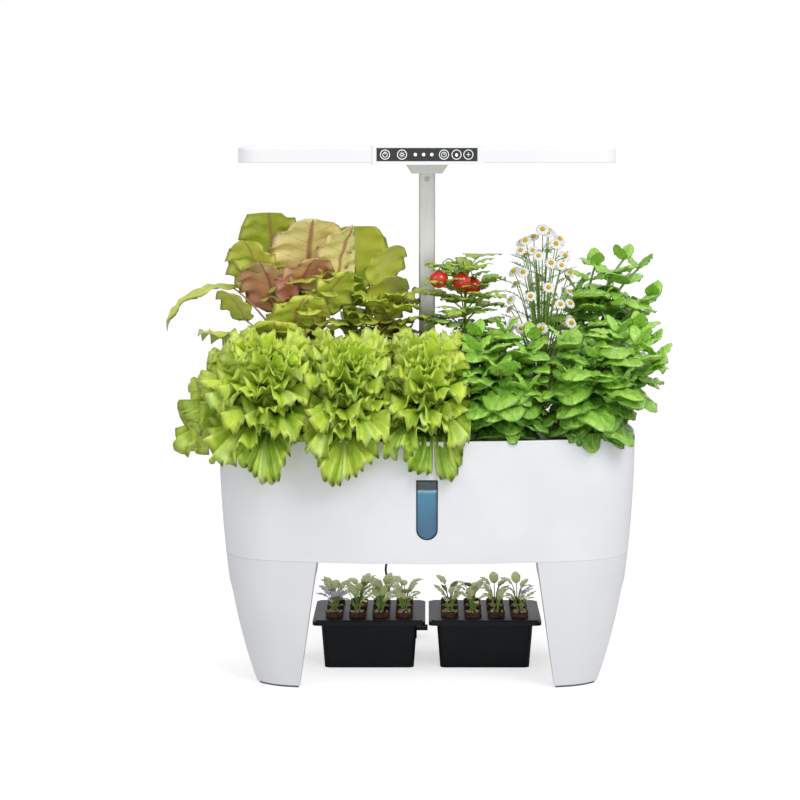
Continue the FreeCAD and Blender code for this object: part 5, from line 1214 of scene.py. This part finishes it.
class Chamomile(Plant):
    """Thin branching stems with feathery leaves, and flower heads on their ends."""

    skin = FEATHER
    slot = "chamomile_green"
    heads: int = 42
    head_radius: float = 0.0092

    def grow(self) -> None:
        """Grow the stems, and keep the place and facing of each head."""
        self.spots: list[np.ndarray] = []
        self.facings: list[np.ndarray] = []
        hole = self.cell.hole
        middle = (self.cell.low + self.cell.high) / 2
        half = (self.cell.high - self.cell.low) / 2 - self.head_radius
        for number in range(self.heads):
            share = (number + 0.5) / self.heads
            turn = number * GOLDEN_ANGLE
            reach = share ** 0.4
            x = middle[0] + half[0] * max(-1.0, min(1.0, 1.25 * reach * math.cos(turn)))
            y = middle[1] + half[1] * max(-1.0, min(1.0, 1.25 * reach * math.sin(turn)))
            drop = 0.010 + 0.150 * share ** 1.2 + self.dice.uniform(0.0, 0.03)
            end = np.array([x, y, self.cell.high[2] - drop])
            path = stalk(hole.copy(), end, 0.72, 13)
            self.draft.tube(path, np.linspace(0.0013, 0.0007, 13), Look.STEM, sides=6)
            out = np.array([math.cos(turn) * reach, math.sin(turn) * reach - 0.75, 0.85])
            self.spots.append(end)
            self.facings.append(out / np.linalg.norm(out))
            for step in (4, 6, 8, 10):
                self.feather(path[step], turn + step * 1.9)

    def feather(self, base: np.ndarray, azimuth: float) -> None:
        """Add one finely cut leaf.

        Args:
            base: Where it starts.
            azimuth: Direction that it grows in, in radians.
        """
        share = np.linspace(0, 1, 5)
        length = self.dice.uniform(0.018, 0.030)
        rib = self.cell.hold(curved(length, 42, 35, share, 0 * share, 0 * share, azimuth) + base)
        self.draft.tube(rib, np.linspace(0.0006, 0.0004, 5), Look.STEM, sides=4)
        for index in (1, 2, 3, 4):
            for side in (-1, 1):
                blade = Blade(0.009, 0.0016, 0.1, 0.0, 0.0, 0.0, rows=4, columns=3, thickness=0.0006)
                self.leaf(blade, rib[index], azimuth + side * 0.8, 30, 20, self.dice.uniform(0.3, 0.9))

    def flowers(self) -> None:
        """Put petals and yellow domes on the stems' ends."""
        points = bpy.data.meshes.new("flower_points")
        points.from_pydata([tuple(spot) for spot in self.spots], [], [])
        facing = points.attributes.new("facing", "FLOAT_VECTOR", "POINT")
        facing.data.foreach_set("vector", np.array(self.facings).ravel().tolist())
        for name, pattern, finish in (("petals", self.petals(), PETAL), ("domes", self.dome(), DOME)):
            carrier = bpy.data.objects.new(f"chamomile_{name}", points.copy())
            bpy.context.scene.collection.objects.link(carrier)
            values = {"Pattern": pattern, "Finish": finish.material()}
            grown = grow_nodes(carrier, head_tree(), values)
            bpy.data.objects.remove(pattern)
            register(grown, "pod_chamomile", None)

    def petals(self) -> bpy.types.Object:
        """Return one ring of petals, facing up."""
        draft = Draft()
        dice = random.Random(5)
        count = 13
        petal = Blade(0.0068, 0.0034, 0.12, 0.0, 0.0, 0.05, base_power=0.35, tip_power=0.3, rows=6,
                      columns=5, thickness=0.0005)
        for number in range(count):
            azimuth = number * 2 * math.pi / count
            out = np.array([math.cos(azimuth), math.sin(azimuth), 0.0])
            grid = petal.grid(azimuth, 8, 40, dice) + 0.0026 * out
            draft.sheet(grid, np.full(grid.shape[:2], MIDDLE_TINT), 0, petal.thickness)
        return draft.build("one_ring_of_petals", [PETAL.material()])

    def dome(self) -> bpy.types.Object:
        """Return one flower's dome, facing up."""
        draft = Draft()
        draft.ball((0.0, 0.0, 0.0008), (0.0034, 0.0034, 0.0032), 0, 8, 14)
        return draft.build("one_dome", [DOME.material()])


def geometry_tree(name: str, sockets: dict[str, str]) -> tuple[Wiring, object, object]:
    """Start a geometry node tree with a geometry input and output.

    Args:
        name: The tree's name.
        sockets: Other input names and their socket types.

    Returns:
        The tree's wiring, its inputs and its output's geometry socket.
    """
    shape = {"Geometry": "NodeSocketGeometry"}
    wiring, entry, leave = start_tree(name, "GeometryNodeTree", shape | sockets, shape)
    return wiring, entry, leave["Geometry"]


def finish_tree(wiring: Wiring, instances: object, finish: object, leave: object) -> None:
    """End a tree in real geometry with one material.

    Args:
        wiring: The tree's wiring.
        instances: The instances' socket.
        finish: The material's socket.
        leave: The tree's output socket.
    """
    real = wiring.add("GeometryNodeRealizeInstances")
    dressed = wiring.add("GeometryNodeSetMaterial")
    wiring.feed(real.inputs[0], instances)
    wiring.feed(dressed.inputs["Geometry"], real.outputs[0])
    wiring.feed(dressed.inputs["Material"], finish)
    wiring.feed(leave, dressed.outputs[0])


def head_tree() -> bpy.types.NodeTree:
    """Return the tree that puts a flower part on each point, turned to its facing."""
    found = bpy.data.node_groups.get("Flower Heads")
    if found:
        return found
    sockets = {"Pattern": "NodeSocketObject", "Finish": "NodeSocketMaterial"}
    wiring, entry, leave = geometry_tree("Flower Heads", sockets)
    pattern = wiring.add("GeometryNodeObjectInfo")
    wiring.feed(pattern.inputs["Object"], entry["Pattern"])
    facing = wiring.add("GeometryNodeInputNamedAttribute", data_type="FLOAT_VECTOR")
    facing.inputs["Name"].default_value = "facing"
    turned = wiring.add("FunctionNodeAlignRotationToVector", axis="Z")
    wiring.feed(turned.inputs["Vector"], facing.outputs[0])
    sizes = wiring.add("FunctionNodeRandomValue", data_type="FLOAT")
    sizes.inputs[2].default_value = 0.85
    sizes.inputs[3].default_value = 1.12
    sizes.inputs["Seed"].default_value = 11
    copies = wiring.add("GeometryNodeInstanceOnPoints")
    wiring.feed(copies.inputs["Points"], entry["Geometry"])
    wiring.feed(copies.inputs["Instance"], pattern.outputs["Geometry"])
    wiring.feed(copies.inputs["Rotation"], turned.outputs[0])
    wiring.feed(copies.inputs["Scale"], sizes.outputs[1])
    finish_tree(wiring, copies.outputs[0], entry["Finish"], leave)
    return wiring.tree


def pebble_tree() -> bpy.types.NodeTree:
    """Return the tree that scatters small stones over faces."""
    found = bpy.data.node_groups.get("Scattered Pebbles")
    if found:
        return found
    sockets = {"Density": NUMBER, "Radius": NUMBER, "Finish": "NodeSocketMaterial"}
    wiring, entry, leave = geometry_tree("Scattered Pebbles", sockets)
    spots = wiring.add("GeometryNodeDistributePointsOnFaces")
    spots.inputs["Seed"].default_value = 7
    wiring.feed(spots.inputs["Mesh"], entry["Geometry"])
    wiring.feed(spots.inputs["Density"], entry["Density"])
    stone = wiring.add("GeometryNodeMeshIcoSphere")
    stone.inputs["Subdivisions"].default_value = 2
    wiring.feed(stone.inputs["Radius"], entry["Radius"])
    sizes = wiring.add("FunctionNodeRandomValue", data_type="FLOAT_VECTOR")
    sizes.inputs[0].default_value = (0.6, 0.6, 0.4)
    sizes.inputs[1].default_value = (1.5, 1.2, 0.9)
    sizes.inputs["Seed"].default_value = 3
    turns = wiring.add("FunctionNodeRandomValue", data_type="FLOAT_VECTOR")
    turns.inputs[1].default_value = (0.5, 0.5, 6.28)
    turns.inputs["Seed"].default_value = 5
    copies = wiring.add("GeometryNodeInstanceOnPoints")
    wiring.feed(copies.inputs["Points"], spots.outputs["Points"])
    wiring.feed(copies.inputs["Instance"], stone.outputs["Mesh"])
    wiring.feed(copies.inputs["Rotation"], turns.outputs[0])
    wiring.feed(copies.inputs["Scale"], sizes.outputs[0])
    finish_tree(wiring, copies.outputs[0], entry["Finish"], leave)
    return wiring.tree


def grow_nodes(carrier: bpy.types.Object, tree: bpy.types.NodeTree,
               values: dict[str, object]) -> bpy.types.Object:
    """Run a tree on an object and keep the result as its plain mesh.

    Args:
        carrier: The object that the tree reads.
        tree: The geometry node tree.
        values: Values of the tree's named inputs.

    Returns:
        The carrier, with the grown mesh and no modifier.
    """
    modifier = carrier.modifiers.new("Grown", "NODES")
    modifier.node_group = tree
    for item in tree.interface.items_tree:
        if item.item_type == "SOCKET" and item.in_out == "INPUT" and item.name in values:
            modifier[item.identifier] = values[item.name]
    graph = bpy.context.evaluated_depsgraph_get()
    grown = bpy.data.meshes.new_from_object(carrier.evaluated_get(graph))
    carrier.modifiers.remove(modifier)
    carrier.data = grown
    return carrier


def register(piece: bpy.types.Object, body: str, node: str | None) -> None:
    """Put a piece on its body and hide the node that it stands for.

    Args:
        piece: The piece.
        body: The body that it rides on.
        node: The node that it replaces, if any.
    """
    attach(piece, body)
    if node:
        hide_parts(node)
    LOG.info("%s on %s, %d faces", piece.name, body, len(piece.data.polygons))


@dataclass(frozen=True)
class Cord:
    """The power cord, from its gland down behind the tub to its coil and adapter."""

    diameter: float = 0.0035
    length: float = 1.55
    coil_centre: tuple[float, float] = (-0.122, 0.192)
    large: float = 0.024
    small: float = 0.016
    pitch: float = 0.004
    steps: int = 16
    gland_half: float = 0.008
    turns_per_layer: float = 2.0
    layers: int = 4
    end_run: float = 0.034

    def route(self) -> list[Triple]:
        """Return the listed points from the gland to the coil."""
        gland_low, gland_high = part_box("cord_gland")
        radius = self.diameter / 2
        start_y = gland_high.y - self.gland_half
        end = (self.coil_centre[0] + self.diameter, self.coil_centre[1] - self.large, radius)
        return [
            (-0.060, start_y, gland_low.z),
            (-0.060, start_y, 0.250),
            (-0.059, 0.161, 0.212),
            (-0.0625, 0.163, 0.172),
            (-0.0575, 0.1645, 0.140),
            (-0.066, 0.1655, 0.117),
            (-0.057, 0.166, 0.094),
            (-0.0615, 0.1685, 0.062),
            (-0.060, 0.166, 0.036),
            (-0.066, 0.165, 0.013),
            (-0.084, 0.1675, 0.0026),
            (-0.101, end[1], radius),
            end,
        ]

    def coil(self) -> list[Triple]:
        """Return the points of the layers that spiral in and out, and of the last straight run."""
        period = self.turns_per_layer + 0.5
        turns = self.layers * self.turns_per_layer + 0.5 * (self.layers - 1)
        points = []
        for step in range(int(turns * self.steps) + 1):
            turn = step / self.steps
            layer = min(int(turn / period), self.layers - 1)
            part = turn - layer * period
            inward = 1 if layer % 2 == 0 else -1
            first, last = (self.large, self.small) if inward == 1 else (self.small, self.large)
            height = self.diameter / 2 + layer * self.pitch
            if part <= self.turns_per_layer:
                radius = first - inward * self.pitch * part
            else:
                climb = (part - self.turns_per_layer) / 0.5
                radius = last - inward * self.pitch * 0.5 * math.sin(math.pi * climb) / math.pi
                height += self.pitch * (1 - math.cos(math.pi * climb)) / 2
            angle = -math.pi / 2 - 2 * math.pi * turn
            x = self.coil_centre[0] + radius * math.cos(angle)
            points.append((x, self.coil_centre[1] + radius * math.sin(angle), height))
        x, y, z = points[-1]
        points.append((x + self.end_run / 2, y, z))
        points.append((x + self.end_run, y, z))
        return points

    def make(self, adapter: bpy.types.Object) -> None:
        """Args:
            adapter: The mains adapter on its end; not used.
        """
        curve = bpy.data.curves.new("cord", "CURVE")
        curve.dimensions = "3D"
        curve.bevel_depth = self.diameter / 2
        curve.bevel_resolution = 3
        curve.use_fill_caps = True
        curve.resolution_u = 4
        places = self.route() + self.coil()
        spline = curve.splines.new("NURBS")
        spline.points.add(len(places) - 1)
        for point, place in zip(spline.points, places):
            point.co = (*place, 1.0)
        spline.order_u = 3
        spline.use_endpoint_u = True
        curve.materials.append(CORD_BLACK.material())
        cord = bpy.data.objects.new("supply_cord", curve)
        bpy.context.scene.collection.objects.link(cord)
        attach(cord, "garden")
        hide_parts("power_cord", "cord_coil")
        LOG.info("%s on garden, %d points", cord.name, len(places))


@dataclass(frozen=True)
class ControlPanel:
    """White rings and dots on the lamp's dark panel."""

    height: float = 0.755
    ring_radius: float = 0.00640
    line: float = 0.00048
    dot_radius: float = 0.0023
    rings: tuple[float, ...] = (-0.0583, -0.0347, 0.0236, 0.0410, 0.0575)
    dots: tuple[float, ...] = (-0.0162, -0.0047, 0.0067)

    def make(self) -> None:
        """Build the rings, their signs and the dots as one piece on the lamp."""
        draft = Draft()
        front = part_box("control_panel")[0].y
        for number, x in enumerate(self.rings):
            draft.hoop((x, front, self.height), self.ring_radius, self.line, 0)
            self.sign(draft, number, x, front)
        for x in self.dots:
            draft.ball((x, front, self.height), (self.dot_radius, 0.0003, self.dot_radius), 0, 12, 20)
        piece = draft.build("panel_signs", [ICON.material()])
        register(piece, "lamp", None)

    def sign(self, draft: Draft, number: int, x: float, front: float) -> None:
        """Add the small sign inside one ring.

        Args:
            draft: The mesh that is gathered.
            number: Which ring it is.
            x: The ring's place.
            front: The panel's front face.
        """
        z = self.height
        thin = np.full(2, 0.00042)
        if number == 0:
            draft.tube([(x, front, z), (x, front, z + 0.0046)], thin, 0, sides=6)
            draft.hoop((x, front, z - 0.0003), 0.0032, 0.0004, 0, 24)
        elif number == 1:
            draft.hoop((x, front, z), 0.0018, 0.0004, 0, 20)
            for ray in range(8):
                turn = ray * math.pi / 4
                near = (x + 0.0029 * math.cos(turn), front, z + 0.0029 * math.sin(turn))
                far = (x + 0.0041 * math.cos(turn), front, z + 0.0041 * math.sin(turn))
                draft.tube([near, far], thin, 0, sides=6)
        elif number == 2:
            draft.hoop((x, front, z), 0.0034, 0.0004, 0, 24)
            draft.tube([(x, front, z), (x, front, z + 0.0026)], thin, 0, sides=6)
            draft.tube([(x, front, z), (x + 0.0018, front, z)], thin, 0, sides=6)
        elif number == 3:
            draft.ball((x, front, z - 0.0006), (0.0020, 0.0003, 0.0024), 0, 8, 12)
        else:
            draft.tube([(x - 0.0028, front, z), (x + 0.0028, front, z)], thin, 0, sides=6)
            draft.tube([(x, front, z - 0.0028), (x, front, z + 0.0028)], thin, 0, sides=6)


@dataclass(frozen=True)
class SeedTray:
    """The stones and seedlings of one tray."""

    side: str
    leans_out: float
    seed: int
    leaves_per_pot: int
    stone_density: float = 42000.0
    stone_radius: float = 0.0024
    stone_bed: float = 0.0004
    columns: int = 4
    rows: int = 3
    pitch_x: float = 0.0345
    pitch_y: float = 0.041
    pot_radius: float = 0.0105

    def pots(self) -> list[np.ndarray]:
        """Return the middle of each pot's top."""
        low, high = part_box(f"peat_pots_{self.side}")
        middle = np.array([(low.x + high.x) / 2, (low.y + high.y) / 2, high.z])
        spots = []
        for row in range(self.rows):
            for column in range(self.columns):
                x = (column - (self.columns - 1) / 2) * self.pitch_x
                y = (row - (self.rows - 1) / 2) * self.pitch_y
                spots.append(middle + np.array([x, y, 0.0]))
        return spots

    def make(self) -> None:
        """Build the tray's stones and seedlings."""
        self.stones()
        self.seedlings()

    def stones(self) -> None:
        """Scatter stones over the pots."""
        points = []
        faces = []
        sides = 12
        for spot in self.pots():
            start = len(points)
            for step in range(sides):
                turn = 2 * math.pi * step / sides
                x = spot[0] + self.pot_radius * math.cos(turn)
                y = spot[1] + self.pot_radius * math.sin(turn)
                points.append((x, y, spot[2] + self.stone_bed))
            faces.append(list(range(start, start + sides)))
        mesh = bpy.data.meshes.new(f"stones_{self.side}")
        mesh.from_pydata(points, [], faces)
        carrier = bpy.data.objects.new(f"stones_{self.side}", mesh)
        bpy.context.scene.collection.objects.link(carrier)
        values = {"Density": self.stone_density, "Radius": self.stone_radius, "Finish": PEBBLE.material()}
        grown = grow_nodes(carrier, pebble_tree(), values)
        register(grown, f"tray_{self.side}", None)

    def seedlings(self) -> None:
        """Grow a tuft of young leaves from each pot."""
        dice = random.Random(self.seed)
        draft = Draft()
        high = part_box(f"seedlings_{self.side}")[1]
        tall = high.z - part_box(f"peat_pots_{self.side}")[1].z
        for spot in self.pots():
            outer = (spot[0] * self.leans_out - 0.115) / 0.05
            pale = outer > dice.uniform(0.0, 1.0)
            for number in range(self.leaves_per_pot):
                azimuth = number * GOLDEN_ANGLE + dice.uniform(0, 1)
                size = tall * dice.uniform(0.5, 0.82)
                base = spot + 0.003 * np.array([math.cos(azimuth), math.sin(azimuth), 0.0])
                tip = base + np.array([0.006 * math.cos(azimuth), 0.006 * math.sin(azimuth), size * 0.62])
                path = stalk(base, tip, 0.7, 6)
                draft.tube(path, np.linspace(0.0009, 0.0006, 6), Look.STEM, sides=6)
                blade = Blade(size * 0.62, size * 0.40, 0.2, 0.2, 0.05, 0.15, rows=10, columns=7,
                              thickness=0.0008)
                grid = blade.grid(azimuth, dice.uniform(40, 70), dice.uniform(30, 70), dice) + path[-1]
                grid[..., 2] = np.minimum(grid[..., 2], high.z + 0.002)
                tint = dice.uniform(0.5, 0.9) + lengthwise(0.0, 0.3, grid)
                draft.sheet(grid, tint, Look.EXTRA if pale else Look.LEAF, blade.thickness)
        materials = [SEEDLING.material(), STEM_GREEN.material(), PEAT.material(), LAVENDER.material()]
        piece = draft.build(f"young_plants_{self.side}", materials)
        register(piece, f"tray_{self.side}", f"seedlings_{self.side}")


@dataclass(frozen=True)
class Studio:
    """Camera, lights, floor and surroundings."""

    camera_place: Triple = (0.0, -3.0, 0.775)
    camera_tilt: float = 82.9
    lens: float = 93.9
    photo_width: float = 800.0
    photo_centre: float = 427.0
    ambient: float = 0.66
    seen_extra: float = 0.34
    aim: Triple = (0.0, 0.0, 0.38)
    table_reach: float = 14.0

    def camera(self) -> None:
        """Put the camera where the photograph was taken."""
        data = bpy.data.cameras.new("camera")
        data.lens = self.lens
        data.sensor_width = 36.0
        data.shift_x = (self.photo_width / 2 - self.photo_centre) / self.photo_width
        data.clip_start = 0.1
        data.clip_end = 60.0
        camera = bpy.data.objects.new("camera", data)
        camera.location = self.camera_place
        camera.rotation_euler = (math.radians(self.camera_tilt), 0.0, 0.0)
        bpy.context.scene.collection.objects.link(camera)
        bpy.context.scene.camera = camera

    def world(self) -> None:
        """Surround the scene with white for sight and softer light."""
        world = bpy.data.worlds.new("surroundings")
        bpy.context.scene.world = world
        world.use_nodes = True
        wiring = Wiring(world.node_tree)
        background = world.node_tree.nodes["Background"]
        background.inputs["Color"].default_value = (1.0, 1.0, 1.0, 1.0)
        path = wiring.add("ShaderNodeLightPath")
        seen = wiring.sum("MAXIMUM", path.outputs["Is Camera Ray"], path.outputs["Is Transmission Ray"])
        seen = wiring.sum("MAXIMUM", seen, path.outputs["Is Glossy Ray"])
        extra = wiring.sum("MULTIPLY", seen, self.seen_extra)
        strength = wiring.sum("ADD", self.ambient, extra)
        wiring.feed(background.inputs["Strength"], strength)

    def light(self, name: str, place: Triple, power: float, size: float) -> None:
        """Add one soft light that looks at the garden's middle.

        Args:
            name: The light's name.
            place: Where it stands.
            power: Its power in watts.
            size: Its side.
        """
        data = bpy.data.lights.new(name, "AREA")
        data.energy = power
        data.size = size
        light = bpy.data.objects.new(name, data)
        light.location = place
        heading = Vector(self.aim) - Vector(place)
        light.rotation_euler = heading.to_track_quat("-Z", "Y").to_euler()
        bpy.context.scene.collection.objects.link(light)

    def floor(self) -> None:
        """Lay the white table."""
        mesh = bpy.data.meshes.new("table")
        reach = self.table_reach
        corners = [(-reach, -reach, 0.0), (reach, -reach, 0.0), (reach, reach, 0.0), (-reach, reach, 0.0)]
        mesh.from_pydata(corners, [], [[0, 1, 2, 3]])
        mesh.materials.append(TableFinish().material())
        floor = bpy.data.objects.new("table", mesh)
        bpy.context.scene.collection.objects.link(floor)

    def make(self) -> None:
        """Set up everything but the camera."""
        self.world()
        self.light("key", (1.6, -2.2, 2.6), 45.0, 1.6)
        self.light("fill", (-2.0, -1.6, 1.8), 9.0, 2.0)
        self.light("low", (0.0, -1.7, 0.16), 2.5, 0.7)
        self.floor()
        bpy.context.scene.view_settings.view_transform = "Standard"


def dress_nodes(nodes: dict[str, bpy.types.Object]) -> None:
    """Give each node that shows its finish.

    Args:
        nodes: The frame's nodes by name.
    """
    water = WaterFinish().material()
    for name, node in nodes.items():
        keys = [key for key in NODE_FINISHES if name.startswith(key)]
        if not keys:
            continue
        finish = NODE_FINISHES[max(keys, key=len)]
        material = finish.material() if finish else water
        if not node.material_slots:
            node.data.materials.append(material)
        for slot in node.material_slots:
            slot.material = material


def main() -> None:
    """Build the whole scene in order."""
    logging.basicConfig(level=logging.INFO, format="%(message)s")
    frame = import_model()
    studio = Studio()
    studio.camera()
    Cord().make(frame["nodes"]["power_adapter"])
    dress_nodes(frame["nodes"])
    ControlPanel().make()
    plants = [
        Lettuce("lettuce_left", 1), Lettuce("lettuce_middle", 2), Lettuce("lettuce_right", 3),
        Basil("basil_middle", 4, ((-0.040, -0.028, 0.128), (0.032, -0.030, 0.121), (0.000, 0.010, 0.150),
                                  (0.020, 0.000, 0.100), (-0.036, -0.050, 0.086), (0.030, -0.056, 0.078),
                                  (-0.010, -0.060, 0.104), (0.040, 0.010, 0.140), (-0.040, 0.016, 0.145))),
        Basil("basil_right", 5, ((0.078, -0.020, 0.135), (0.015, -0.035, 0.118), (0.050, 0.010, 0.150),
                                 (0.106, 0.000, 0.100), (0.050, -0.056, 0.090), (-0.020, -0.040, 0.090),
                                 (0.100, -0.030, 0.118), (-0.030, 0.000, 0.140), (0.080, 0.014, 0.156))),
        Basil("basil_back", 6, ((0.094, 0.015, 0.230), (0.029, 0.000, 0.237), (0.039, -0.010, 0.186),
                                (0.100, 0.030, 0.170), (0.000, 0.040, 0.180), (0.055, 0.050, 0.205),
                                (0.112, 0.000, 0.120), (0.060, -0.020, 0.140), (0.070, 0.000, 0.244),
                                (0.000, 0.000, 0.200), (0.112, -0.016, 0.190))),
        Mustard("mustard", 7), Broadleaf("broadleaf", 8), Oakleaf("oakleaf", 9), Tomato("tomato", 10),
    ]
    for plant in plants:
        plant.make()
    chamomile = Chamomile("chamomile", 12)
    chamomile.make()
    chamomile.flowers()
    SeedTray("left", -1.0, 31, 7).make()
    SeedTray("right", 1.0, 32, 5).make()
    studio.make()


if __name__ == "__main__":
    main()
